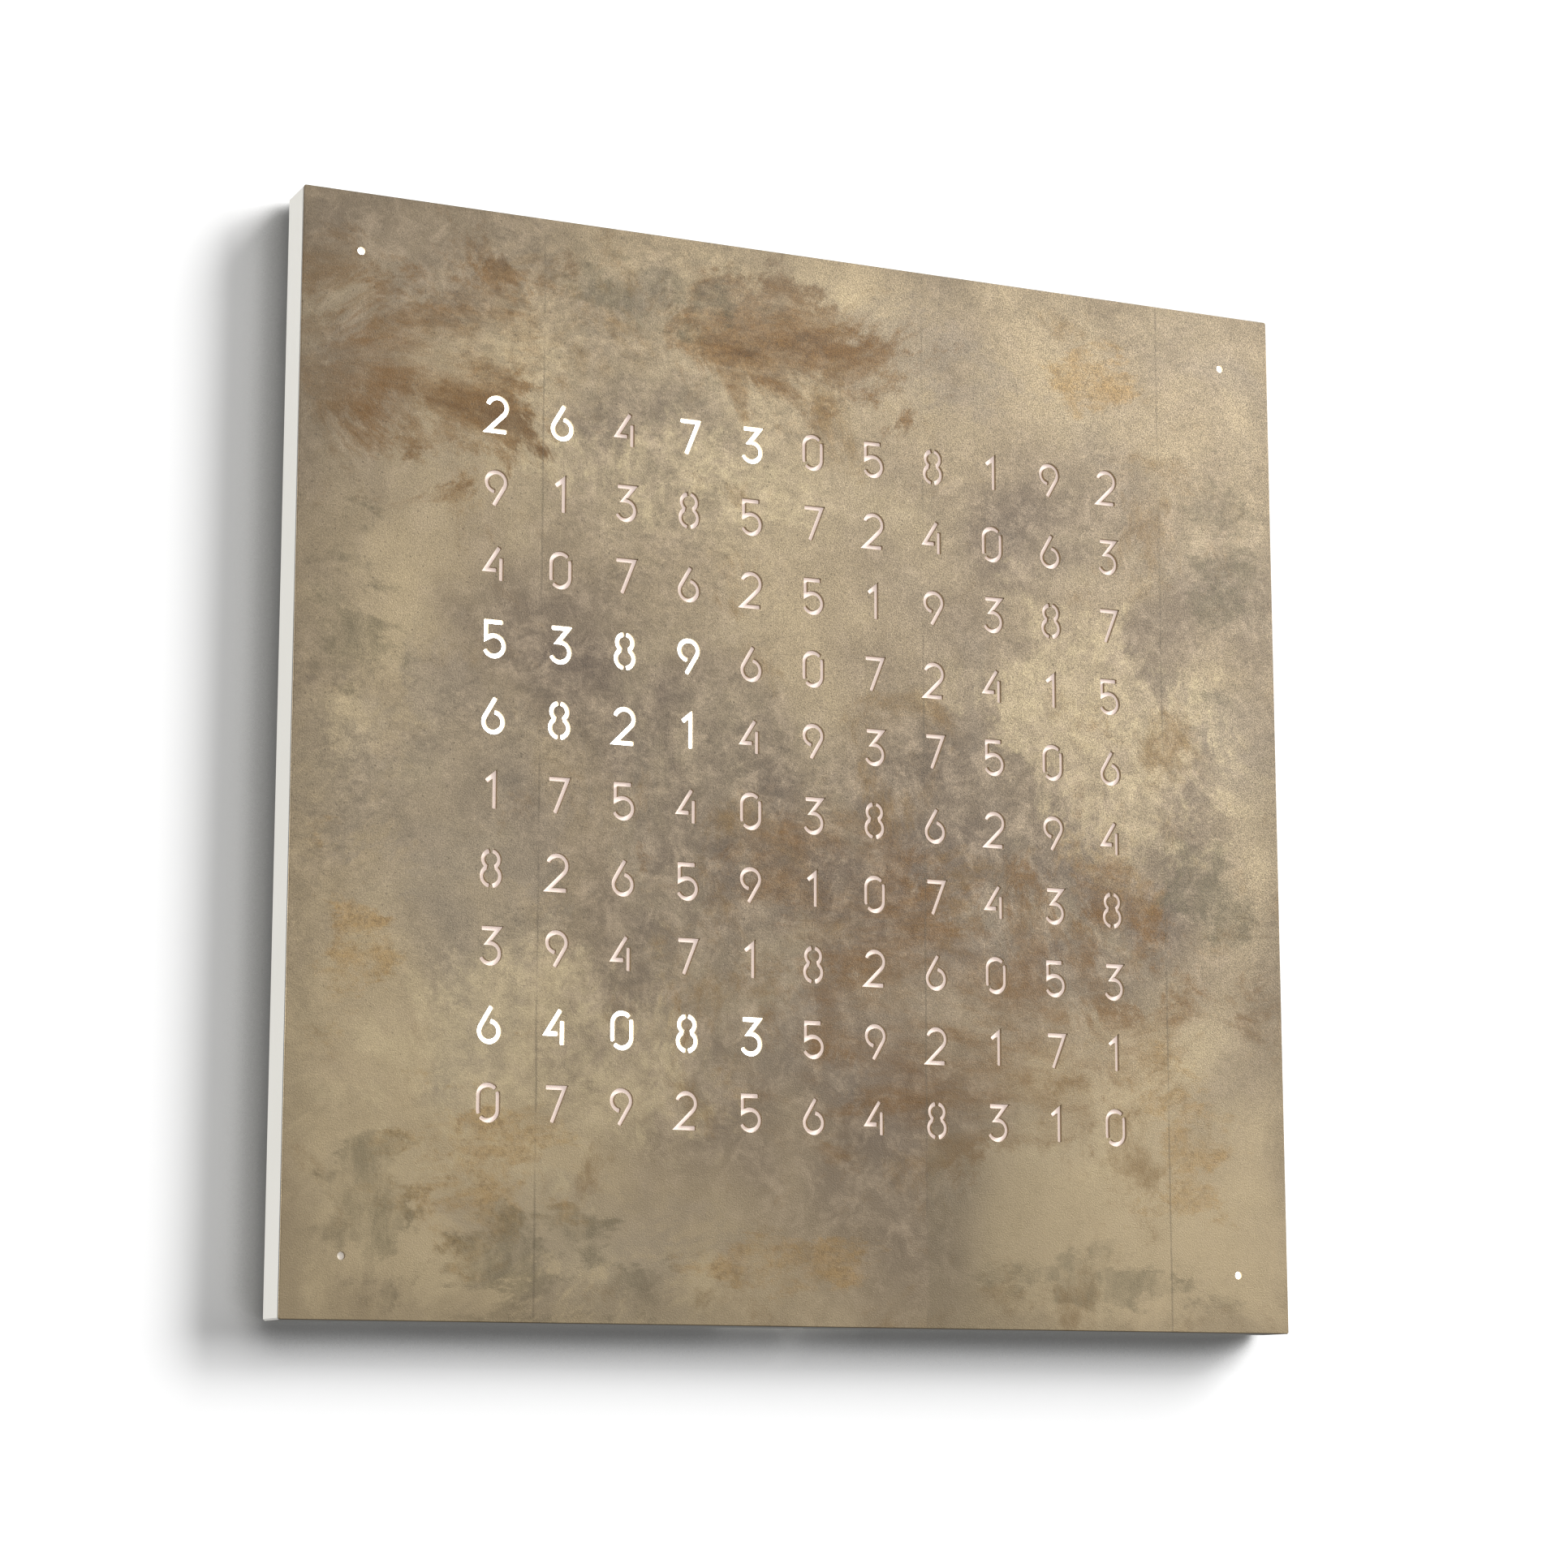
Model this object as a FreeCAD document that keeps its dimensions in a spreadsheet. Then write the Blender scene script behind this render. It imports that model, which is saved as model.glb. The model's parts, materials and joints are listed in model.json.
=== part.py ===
import FreeCAD, Part
import Sketcher
import os
import re

# Word clock for a wall: a square metal cover, held by magnets on a shallow housing, with one light cell
# behind each character and a light guide behind each corner dot.
#
# Axes: X to the right, Y into the wall, Z up.  The origin lies on the wall, at the centre of the four
# wall screws.  A "level" is a distance from the wall towards the room, so a level of 5 is y = -5.
# All sizes are in millimetres and stand in the spreadsheet; each alias is used in the formulas below.

SIZES = (
    # overall
    ("clock_width", 450),
    ("clock_height", 450),
    ("housing_depth", 18.5),
    ("cover_thickness", 1.5),
    ("wall_gap", 3),
    # clearances
    ("fit", 0.3),
    ("cover_play", 0.1),
    ("running_fit", 0.08),
    ("screw_play", 0.05),
    # housing shell
    ("outer_wall", 4),
    ("inner_wall", 2.5),
    ("flange", 3),
    ("rib", 1.8),
    ("rib_depth", 9.5),
    ("rib_near", 45),
    ("rib_far", 135),
    ("corner_break", 0.7),
    ("edge_break", 0.4),
    ("boss_bite", 1),
    ("pilot_radius", 1),
    ("pilot_floor", 1),
    # light field
    ("cell_columns", 11),
    ("cell_rows", 10),
    ("pitch_x", 28.3),
    ("pitch_z", 31),
    ("grid_depth", 12),
    ("grid_wall", 1.6),
    ("grid_rim", 3),
    ("funnel_angle", 31),
    ("diffuser", 1),
    ("diffuser_lap", 3.5),
    # circuit boards and light sources
    ("board", 1.6),
    ("board_standoff", 2.9),
    ("board_boss", 2.5),
    ("board_hole", 1.4),
    ("led_length", 3.5),
    ("led_width", 2.8),
    ("led_height", 1.4),
    ("led_board_edge", 7),
    ("led_boss", 2.8),
    ("led_boss_spread", 120),
    ("sensor_offset", 4.2),
    ("sensor_length", 2),
    ("sensor_height", 0.9),
    # corner dots
    ("dot_inset", 24.5),
    ("dot_radius", 1.6),
    ("guide_head", 8),
    ("guide_head_height", 1),
    ("guide_stem", 5),
    ("guide_gap", 0.3),
    ("corner_board", 18),
    ("corner_screw", 6.2),
    # cover fixings
    ("magnet_length", 20),
    ("magnet_width", 8),
    ("magnet_height", 3),
    ("magnet_inset", 29),
    ("magnet_spread", 90),
    ("magnet_wall", 1.5),
    ("pin_radius", 2),
    ("pin_length", 5),
    ("pin_inset_x", 43),
    ("pin_inset_z", 17),
    # wall fixings
    ("wall_screw_hole", 2.75),
    ("wall_screw_inset_x", 29),
    ("wall_screw_inset_z", 60),
    ("wall_boss", 13),
    ("wall_head", 10.4),
    ("wall_head_depth", 4),
    ("spacer", 16),
    # rear cover
    ("rear_sheet", 1.2),
    ("rear_lip", 2),
    ("rear_boss", 4.5),
    ("rear_screw_spread", 75),
    ("rear_screw_radius", 1.4),
    ("rear_screw_length", 7.5),
    ("rear_head", 2.9),
    ("rear_head_height", 1.6),
    ("rear_hole", 1.7),
    ("insert_radius", 2.5),
    ("insert_length", 5),
    ("bead_width", 8),
    ("bead_height", 260),
    ("bead_depth", 0.8),
    ("bead_pitch", 52),
    ("bead_count", 5),
    # cable bay in the bottom of the housing
    ("bay_width", 64),
    ("bay_height", 30),
    ("bay_lip", 2),
    ("notch_width", 8),
    ("notch_depth", 6),
    # controller board
    ("controller_length", 136),
    ("controller_height", 36),
    ("controller_gap", 2),
    ("controller_screw", 4),
    # power jack
    ("jack_length", 14),
    ("jack_size", 9),
    ("jack_bore", 3.1),
    ("jack_depth", 9),
    ("jack_pin", 1.1),
    ("jack_pin_recess", 1),
    # parts on the controller board
    ("chip_size", 10),
    ("chip_height", 1.2),
    ("driver_length", 10),
    ("driver_width", 5.3),
    ("driver_height", 1.8),
    ("driver_count", 6),
    ("driver_pitch", 12),
    ("driver_row", 2),
    ("part_row", 9),
    ("can_corner", 1.5),
    ("crystal_length", 11),
    ("crystal_width", 4.7),
    ("crystal_height", 3.5),
    ("capacitor_radius", 4),
    ("capacitor_height", 7.5),
    ("capacitor_pitch", 10),
    ("inductor_size", 10),
    ("inductor_height", 4.5),
    ("coin_radius", 10),
    ("coin_height", 3.2),
    ("holder_wall", 1.5),
    ("holder_floor", 1),
    ("plug_width", 6),
    ("plug_length", 8),
    ("plug_pitch", 10),
    ("plug_height", 5),
    ("ribbon_shift", 18),
    ("ribbon_plug", 24),
    ("ribbon_plug_height", 6),
    ("ribbon_plug_low", 1.9),
    ("small_screw_head", 2.2),
    ("small_screw_head_height", 1.5),
    ("small_screw_radius", 0.95),
    ("small_screw_length", 5),
    # setting buttons
    ("button_radius", 2.4),
    ("button_first", 100),
    ("button_pitch", 20),
    ("button_flange", 6.4),
    ("button_flange_length", 1.2),
    ("button_stem", 3),
    ("button_stem_length", 2.5),
    ("plunger", 2.8),
    ("plunger_length", 4),
    ("plunger_show", 1.5),
    ("switch_height", 4.5),
    ("switch_width", 6.2),
    ("switch_length", 5.5),
    ("switch_bore", 4),
    ("switch_overhang", 1.5),
    ("button_board_width", 10),
    ("button_board_height", 62),
    ("button_screw_shift", 1.5),
    # time signal antenna
    ("rod_width", 10),
    ("rod_thickness", 4),
    ("rod_length", 60),
    ("rod_inset", 34),
    ("rod_level", 10),
    ("coil_wall", 1.2),
    ("coil_length", 24),
    ("clip_length", 4),
    ("clip_wall", 1.6),
    ("clip_hook", 1),
    ("clip_place", 22),
    # leads
    ("lead_width", 1.4),
    ("lead_bend", 2.4),
    ("lead_gap", 10),
    ("antenna_lead_gap", 7),
    ("ribbon_width", 20),
    ("ribbon_thickness", 0.8),
    ("ribbon_bend", 1.6),
    ("ribbon_rise", 2.1),
)

# Levels, counted from the wall.
BACK = "wall_gap"
SHEET_IN = "(wall_gap + rear_sheet)"
SEAT = "(wall_gap + housing_depth)"
FRONT = f"({SEAT} + cover_thickness)"
UNDER_COVER = f"({SEAT} - cover_play)"
FLANGE_BACK = f"({SEAT} - flange)"
DIFFUSER_BACK = f"({UNDER_COVER} - diffuser)"
GRID_BACK = f"({DIFFUSER_BACK} - grid_depth)"
LED_BOARD_BACK = f"({GRID_BACK} - board)"
BOARD_FRONT = f"({FLANGE_BACK} - board_standoff)"
BOARD_BACK = f"({BOARD_FRONT} - board)"
RIB_BACK = f"({FLANGE_BACK} - rib_depth)"
MAGNET_BACK = f"({UNDER_COVER} - magnet_height)"
BUTTON_LEVEL = f"({BOARD_BACK} - switch_height/2)"
JACK_LEVEL = f"({BOARD_BACK} - jack_size/2)"

# Outlines in front view.
HALF_W = "clock_width/2"
HALF_H = "clock_height/2"
GRID_W = "(cell_columns*pitch_x + 2*grid_rim)"
GRID_H = "(cell_rows*pitch_z + 2*grid_rim)"
OPEN_W = f"({GRID_W} + 2*fit)"
OPEN_H = f"({GRID_H} + 2*fit)"
INNER_W = f"({OPEN_W} + 2*inner_wall)"
INNER_H = f"({OPEN_H} + 2*inner_wall)"
FIRST_CELL_X = "-(cell_columns - 1)*pitch_x/2"
FIRST_CELL_Z = "-(cell_rows - 1)*pitch_z/2"

# Places, from the edges and walls that they belong to.
BAY_RIGHT = "bay_width/2"
BAY_TOP = f"(-({HALF_H} - outer_wall - bay_height))"
CONTROLLER_X = f"({BAY_RIGHT} + rib + controller_gap + controller_length/2)"
CONTROLLER_BOTTOM = f"(-({HALF_H} - outer_wall - 2*rear_boss - controller_gap))"
CONTROLLER_Z = f"({CONTROLLER_BOTTOM} + controller_height/2)"
BUTTON_IN = f"({HALF_W} - outer_wall - fit)"
BUTTON_STEM_END = f"({BUTTON_IN} - button_flange_length - button_stem_length)"
SWITCH_RIGHT = f"({BUTTON_STEM_END} - plunger_show)"
BUTTON_BOARD_RIGHT = f"({SWITCH_RIGHT} - switch_overhang)"
BUTTON_BOARD_X = f"({BUTTON_BOARD_RIGHT} - button_board_width/2)"
BUTTON_BOARD_Z = "-(button_first + button_pitch)"
ROD_X = f"({HALF_W} - rod_inset)"
RIBBON_X = f"({CONTROLLER_X} - ribbon_shift)"
RIBBON_PLUG_Z = f"({CONTROLLER_Z} + controller_height/2 - ribbon_plug_height)"
LED_PLUG_Z = f"(-({INNER_H}/2 + led_board_edge - plug_height))"
RIGHT_PLUG_X = f"({CONTROLLER_X} + controller_length/2 - plug_width/2)"
ANTENNA_PLUG_Z = f"({CONTROLLER_Z} + plug_pitch/2)"
BUTTON_PLUG_Z = f"({CONTROLLER_Z} - plug_pitch/2)"
PLUG_LEVEL = f"({BOARD_BACK} - plug_height/2)"


def four(x, z):
    """The point and its mirror images across both centre lines."""
    return [(f"{a}({x})", f"{b}({z})") for a in ("", "-") for b in ("", "-")]


def two_x(x, z):
    return [(f"({x})", z), (f"-({x})", z)]


def two_z(x, z):
    return [(x, f"({z})"), (x, f"-({z})")]


DOT_X, DOT_Z = f"{HALF_W} - dot_inset", f"{HALF_H} - dot_inset"
DOTS = four(DOT_X, DOT_Z)
MAGNET_X, MAGNET_Z = f"{HALF_W} - magnet_inset", f"{HALF_H} - magnet_inset"
UPRIGHT_MAGNETS = two_x(MAGNET_X, "0") + four(MAGNET_X, "magnet_spread")
LEVEL_MAGNETS = two_z("0", MAGNET_Z) + four("magnet_spread", MAGNET_Z)
COVER_PINS = two_x(f"{HALF_W} - pin_inset_x", f"{HALF_H} - pin_inset_z")
WALL_SCREWS = four(f"{HALF_W} - wall_screw_inset_x", f"{HALF_H} - wall_screw_inset_z")
REAR_X = f"({HALF_W} - outer_wall - rear_boss + boss_bite)"
REAR_Z = f"({HALF_H} - outer_wall - rear_boss + boss_bite)"
REAR_SCREWS = (
    four(REAR_X, REAR_Z) + four("rear_screw_spread", REAR_Z) + two_x(REAR_X, "0")
)
LED_SCREWS = four(f"{INNER_W}/2 + led_boss - boss_bite", "led_boss_spread") + four(
    "led_boss_spread", f"{INNER_H}/2 + led_boss - boss_bite"
)
CONTROLLER_SCREWS = [
    (
        f"{CONTROLLER_X} {a} (controller_length/2 - controller_screw)",
        f"{CONTROLLER_Z} {b} (controller_height/2 - controller_screw)",
    )
    for a in "+-"
    for b in "+-"
]
BUTTON_BOARD_SCREWS = [
    (f"{BUTTON_BOARD_X} - button_screw_shift", f"{BUTTON_BOARD_Z} {a} button_pitch/2")
    for a in "+-"
]
CORNER_BOARD_SCREWS = four(f"{DOT_X} + corner_screw", f"{DOT_Z} - corner_screw") + four(
    f"{DOT_X} - corner_screw", f"{DOT_Z} + corner_screw"
)
SMALL_BOARD_SCREWS = CONTROLLER_SCREWS + BUTTON_BOARD_SCREWS + CORNER_BOARD_SCREWS

BUTTONS = ("mode", "plus", "minus")

FRONT_VIEW, SIDE_VIEW, TOP_VIEW = "XZ_Plane", "YZ_Plane", "XY_Plane"
TOLERANCE = 1e-4
X_AXIS, Z_AXIS = FreeCAD.Vector(1, 0, 0), FreeCAD.Vector(0, 0, 1)
SHARP_CORNERS = 1

SUB_PARTS = []
doc = FreeCAD.newDocument("WordClock")
sheet = doc.addObject("Spreadsheet::Sheet", "Sizes")


def fill_sheet():
    for row, (alias, value) in enumerate(SIZES, 1):
        sheet.set(f"A{row}", alias)
        sheet.set(f"B{row}", str(value))
        sheet.setAlias(f"B{row}", alias)
    doc.recompute()


def bound(formula):
    """The formula with each alias read from the sheet."""
    return re.sub(r"\b(?!tan|sin)[a-z]\w+", lambda word: "Sizes." + word.group(), formula)


def value(formula):
    return float(sheet.evalExpression(bound(formula)))


def rect(cx, cz, width, height):
    """A rectangle about a centre, as its corners."""
    left, right = f"{cx} - ({width})/2", f"{cx} + ({width})/2"
    low, high = f"{cz} - ({height})/2", f"{cz} + ({height})/2"
    return [(left, low), (right, low), (right, high), (left, high)]


def square(cx, cz, side):
    return rect(cx, cz, side, side)


def hexagon(cx, cz, radius):
    """A hexagon about a centre, with two corners on its horizontal axis."""
    right, high = f"({radius})/2", f"({radius})*sin(60)"
    return [
        (f"{cx} + {radius}", cz),
        (f"{cx} + {right}", f"{cz} + {high}"),
        (f"{cx} - {right}", f"{cz} + {high}"),
        (f"{cx} - ({radius})", cz),
        (f"{cx} - {right}", f"{cz} - {high}"),
        (f"{cx} + {right}", f"{cz} - {high}"),
    ]


def disc(cx, cz, radius):
    return (cx, cz, radius)


def at_each(places, figure, size):
    return [figure(x, z, size) for x, z in places]


class Piece:
    """A body made of pads and cuts whose outlines lie in a view of the clock."""

    def __init__(self, label, part_of_another=False):
        self.body = doc.addObject("PartDesign::Body", label)
        self.body.Label = label
        self.body.AllowCompound = True
        if not part_of_another:
            SUB_PARTS.append(self.body)

    def outline(self, view, level, figures):
        """A sketch at a level of the view, with every corner, centre and radius bound to the sheet."""
        sketch = self.body.newObject("Sketcher::SketchObject", "Outline")
        plane = [f for f in self.body.Origin.OriginFeatures if f.Role == view]
        sketch.AttachmentSupport = [(plane[0], "")]
        sketch.MapMode = "FlatFace"
        sketch.setExpression(".AttachmentOffset.Base.z", bound(level))
        for figure in figures:
            if isinstance(figure, tuple):
                add_circle(sketch, *figure)
            else:
                add_polygon(sketch, figure)
        return sketch

    def feature(self, kind, view, start, length, figures):
        sketch = self.outline(view, start, figures)
        feature = self.body.newObject(f"PartDesign::{kind}", kind)
        feature.Profile = sketch
        feature.setExpression("Length", bound(length))
        sketch.Visibility = False
        self.body.Tip = feature
        return feature

    def pad(self, low, high, figures, view=FRONT_VIEW):
        """Material between two levels of the view."""
        return self.feature("Pad", view, low, f"{high} - ({low})", figures)

    def cut(self, low, high, figures, view=FRONT_VIEW):
        """No material between two levels of the view."""
        return self.feature("Pocket", view, high, f"{high} - ({low})", figures)

    def grid_of(self, feature, *directions):
        """Repeats a feature along the axes of its sketch: (axis, spacing, count) for each direction."""
        pattern = self.body.newObject("PartDesign::MultiTransform", "Repeats")
        pattern.Originals = [feature]
        steps = []
        for axis, spacing, count in directions:
            step = self.body.newObject("PartDesign::LinearPattern", "Step")
            step.Direction = (feature.Profile[0], [axis])
            step.setExpression("Length", bound(f"({spacing})*({count} - 1)"))
            step.setExpression("Occurrences", bound(count))
            steps.append(step)
        pattern.Transformations = steps
        self.body.Tip = pattern

    def chamfer(self, size, chosen):
        """A chamfer on the edges that a test chooses."""
        doc.recompute()
        base = self.body.Tip
        names = [f"Edge{n}" for n, e in enumerate(base.Shape.Edges, 1) if chosen(e)]
        feature = self.body.newObject("PartDesign::Chamfer", "Chamfer")
        feature.Base = (base, names)
        feature.setExpression("Size", bound(size))
        self.body.Tip = feature


def add_circle(sketch, cx, cz, radius):
    centre = FreeCAD.Vector(value(cx), value(cz), 0)
    circle = Part.Circle(centre, FreeCAD.Vector(0, 0, 1), value(radius))
    index = sketch.addGeometry(circle, False)
    fix(sketch, ("Radius", index), radius)
    fix_point(sketch, index, 3, cx, cz)


def add_polygon(sketch, corners):
    points = [FreeCAD.Vector(value(x), value(z), 0) for x, z in corners]
    count, first = len(points), len(sketch.Geometry)
    for here in range(count):
        line = Part.LineSegment(points[here], points[(here + 1) % count])
        sketch.addGeometry(line, False)
    for here in range(count):
        following = first + (here + 1) % count
        sketch.addConstraint(Sketcher.Constraint("Coincident", first + here, 2, following, 1))
    for here, (x, z) in enumerate(corners):
        fix_point(sketch, first + here, 1, x, z)


def fix_point(sketch, geometry, point, x, z):
    fix(sketch, ("DistanceX", -1, 1, geometry, point), x)
    fix(sketch, ("DistanceY", -1, 1, geometry, point), z)


def fix(sketch, constraint, formula):
    index = sketch.addConstraint(Sketcher.Constraint(*constraint, value(formula)))
    sketch.setExpression(f"Constraints[{index}]", bound(formula))


def along_y(edge):
    if not isinstance(edge.Curve, Part.Line):
        return False
    return abs(edge.tangentAt(edge.FirstParameter).y) > 1 - TOLERANCE


def at_level(edge, level):
    y = -value(level)
    return abs(edge.BoundBox.YMin - y) < TOLERANCE and abs(edge.BoundBox.YMax - y) < TOLERANCE


def stacked(label, places, figure, *steps):
    """Equal pieces of coaxial steps: each step is (low level, high level, size of the figure)."""
    piece = Piece(label)
    for low, high, size in steps:
        piece.pad(low, high, at_each(places, figure, size))
    return piece


# ---- the cover, which comes off ----


def front_cover():
    cover = Piece("front_cover")
    cover.pad(SEAT, FRONT, [rect("0", "0", "clock_width", "clock_height")])
    cover.chamfer("corner_break", along_y)
    cover.chamfer("edge_break", lambda e: at_level(e, FRONT))
    cover.cut(SEAT, FRONT, at_each(DOTS, disc, "dot_radius"))


def cover_locating_pins():
    tip = f"{SEAT} - pin_length"
    stacked("cover_locating_pins", COVER_PINS, disc, (tip, SEAT, "pin_radius"))


# ---- the housing ----


def rib_places():
    """The ribs that tie the inner wall to the outer one, left out where a board or the bay lies."""
    middle_x = f"({HALF_W} - outer_wall + {INNER_W}/2)/2"
    middle_z = f"({HALF_H} - outer_wall + {INNER_H}/2)/2"
    long_x = f"{HALF_W} - outer_wall - {INNER_W}/2 + 2*boss_bite"
    long_z = f"{HALF_H} - outer_wall - {INNER_H}/2 + 2*boss_bite"
    upright = [(f"{a}{x}", f"{middle_z}") for a in ("", "-") for x in ("rib_near", "rib_far")]
    upright += [("-rib_far", f"-({middle_z})")]
    level = [(f"-({middle_x})", f"{a}{z}") for a in ("", "-") for z in ("rib_near", "rib_far")]
    level += [(middle_x, z) for z in ("rib_near", "rib_far", "-rib_near")]
    return [rect(x, z, "rib", long_z) for x, z in upright] + [
        rect(x, z, long_x, "rib") for x, z in level
    ]


def housing_shell(housing):
    inside_w, inside_h = "clock_width - 2*outer_wall", "clock_height - 2*outer_wall"
    inside = rect("0", "0", inside_w, inside_h)
    housing.pad(BACK, SEAT, [rect("0", "0", "clock_width", "clock_height")])
    housing.chamfer("corner_break", along_y)
    housing.chamfer("edge_break", lambda e: at_level(e, SEAT) or at_level(e, BACK))
    housing.cut(BACK, GRID_BACK, [inside])
    housing.cut(GRID_BACK, FLANGE_BACK, [inside, rect("0", "0", INNER_W, INNER_H)])
    housing.cut(GRID_BACK, SEAT, [rect("0", "0", OPEN_W, OPEN_H)])
    sheet_w, sheet_h = "clock_width - 2*rear_lip", "clock_height - 2*rear_lip"
    housing.cut(BACK, SHEET_IN, [rect("0", "0", sheet_w, sheet_h)])
    seat_w, seat_h = f"{OPEN_W} + 2*(diffuser_lap + fit)", f"{OPEN_H} + 2*(diffuser_lap + fit)"
    housing.cut(DIFFUSER_BACK, SEAT, [rect("0", "0", seat_w, seat_h)])
    housing.pad(RIB_BACK, FLANGE_BACK, rib_places())


def magnet_figures(margin):
    """The outlines of the bar magnets, which lie along the sides of the housing."""
    long_side, short_side = f"magnet_length + 2*{margin}", f"magnet_width + 2*{margin}"
    upright = [rect(x, z, short_side, long_side) for x, z in UPRIGHT_MAGNETS]
    return upright + [rect(x, z, long_side, short_side) for x, z in LEVEL_MAGNETS]


def housing_bosses(housing):
    boss_back = f"{MAGNET_BACK} - magnet_wall"
    housing.pad(BACK, FLANGE_BACK, at_each(WALL_SCREWS, square, "wall_boss"))
    housing.pad(SHEET_IN, FLANGE_BACK, at_each(REAR_SCREWS, hexagon, "rear_boss"))
    housing.pad(GRID_BACK, FLANGE_BACK, at_each(LED_SCREWS, hexagon, "led_boss"))
    housing.pad(BOARD_FRONT, FLANGE_BACK, at_each(SMALL_BOARD_SCREWS, hexagon, "board_boss"))
    housing.pad(boss_back, FLANGE_BACK, magnet_figures("magnet_wall"))


def housing_seats(housing):
    """The holes and pockets of what is screwed, pressed or glued into the housing."""
    housing.cut(MAGNET_BACK, SEAT, magnet_figures("cover_play"))
    housing.cut(BACK, SEAT, at_each(WALL_SCREWS, disc, "wall_screw_hole"))
    housing.cut(f"{SEAT} - wall_head_depth", SEAT, at_each(WALL_SCREWS, square, "wall_head"))
    insert_end = f"{SHEET_IN} + insert_length"
    insert_hole = at_each(REAR_SCREWS, hexagon, "insert_radius + screw_play")
    housing.cut(SHEET_IN, insert_end, insert_hole)
    pilot_end = f"{FLANGE_BACK} + pilot_floor"
    housing.cut(GRID_BACK, pilot_end, at_each(LED_SCREWS, hexagon, "pilot_radius"))
    housing.cut(BOARD_FRONT, pilot_end, at_each(SMALL_BOARD_SCREWS, hexagon, "pilot_radius"))
    housing.cut(FLANGE_BACK, SEAT, at_each(COVER_PINS, disc, "pin_radius + running_fit"))
    housing.cut(FLANGE_BACK, SEAT, at_each(DOTS, square, "guide_stem + 2*cover_play"))
    guide_seat = f"{UNDER_COVER} - guide_head_height"
    housing.cut(guide_seat, SEAT, at_each(DOTS, square, "guide_head + 2*cover_play"))


def cable_bay(housing):
    """A compartment at the bottom, open to the rear, where the power plug and its cable lie."""
    bottom = f"-({HALF_H} - outer_wall)"
    middle = f"({bottom} + {BAY_TOP})/2"
    outside = rect("0", f"{middle} + rib/2", "bay_width + 2*rib", "bay_height + rib")
    inside = rect("0", middle, "bay_width", "bay_height")
    housing.pad(SHEET_IN, FLANGE_BACK, [outside])
    housing.cut(SHEET_IN, FLANGE_BACK, [inside])
    mouth = rect("0", f"-({HALF_H} - outer_wall/2)", "notch_width", "outer_wall + 2*fit")
    housing.cut(BACK, f"{BACK} + notch_depth", [mouth])
    window = rect(f"-{JACK_LEVEL}", CONTROLLER_Z, "jack_size + 2*fit", "jack_size + 2*fit")
    housing.cut(f"{BAY_RIGHT} - fit", f"{BAY_RIGHT} + rib + fit", [window], SIDE_VIEW)


def button_axis(number):
    """A button's axis in side view, counted from the top."""
    return f"-{BUTTON_LEVEL}", f"-(button_first + {number}*button_pitch)"


def housing_frame():
    housing = Piece("housing_frame")
    housing_shell(housing)
    housing_bosses(housing)
    housing_seats(housing)
    cable_bay(housing)
    holes = [disc(*button_axis(n), "button_radius + cover_play") for n in range(len(BUTTONS))]
    housing.cut(f"{HALF_W} - outer_wall - fit", HALF_W, holes, SIDE_VIEW)


def rear_cover():
    cover = Piece("rear_cover")
    width = "clock_width - 2*(rear_lip + fit)"
    height = "clock_height - 2*(rear_lip + fit)"
    cover.pad(BACK, SHEET_IN, [rect("0", "0", width, height)])
    cover.chamfer("corner_break", along_y)
    cover.cut(BACK, SHEET_IN, at_each(REAR_SCREWS, hexagon, "rear_hole"))
    cover.cut(BACK, SHEET_IN, at_each(WALL_SCREWS, square, "wall_boss + 2*fit"))
    opening_high = f"{BAY_TOP} - bay_lip"
    opening_low = f"-({HALF_H} - rear_lip)"
    bay = rect(
        "0",
        f"({opening_high} + {opening_low})/2",
        "bay_width - 2*bay_lip",
        f"{opening_high} - ({opening_low}) + 2*fit",
    )
    cover.cut(BACK, SHEET_IN, [bay])
    first_bead = "-(bead_count - 1)*bead_pitch/2"
    inner = rect(first_bead, "0", "bead_width", "bead_height")
    outer = rect(first_bead, "0", "bead_width + 2*rear_sheet", "bead_height + 2*rear_sheet")
    raised = cover.pad(SHEET_IN, f"{SHEET_IN} + bead_depth", [outer])
    cover.grid_of(raised, ("H_Axis", "bead_pitch", "bead_count"))
    pressed = cover.cut(BACK, f"{BACK} + bead_depth", [inner])
    cover.grid_of(pressed, ("H_Axis", "bead_pitch", "bead_count"))


def rear_cover_screws():
    stacked(
        "rear_cover_screws",
        REAR_SCREWS,
        hexagon,
        (f"{BACK} - rear_head_height", BACK, "rear_head"),
        (BACK, f"{BACK} + rear_screw_length - rear_head_height", "rear_screw_radius"),
    )


def threaded_inserts():
    end = f"{SHEET_IN} + insert_length"
    inserts = stacked(
        "threaded_inserts", REAR_SCREWS, hexagon, (SHEET_IN, end, "insert_radius")
    )
    inserts.cut(SHEET_IN, end, at_each(REAR_SCREWS, hexagon, "rear_screw_radius + screw_play"))


def wall_spacers():
    spacers = stacked("wall_spacers", WALL_SCREWS, square, ("0", BACK, "spacer"))
    spacers.cut("0", BACK, at_each(WALL_SCREWS, disc, "wall_screw_hole"))


def holding_magnets():
    magnets = Piece("holding_magnets")
    magnets.pad(MAGNET_BACK, UNDER_COVER, magnet_figures("0"))


# ---- the light path ----


def diffuser_sheet():
    diffuser = Piece("diffuser_sheet")
    width, height = f"{OPEN_W} + 2*diffuser_lap", f"{OPEN_H} + 2*diffuser_lap"
    diffuser.pad(DIFFUSER_BACK, UNDER_COVER, [rect("0", "0", width, height)])


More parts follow.
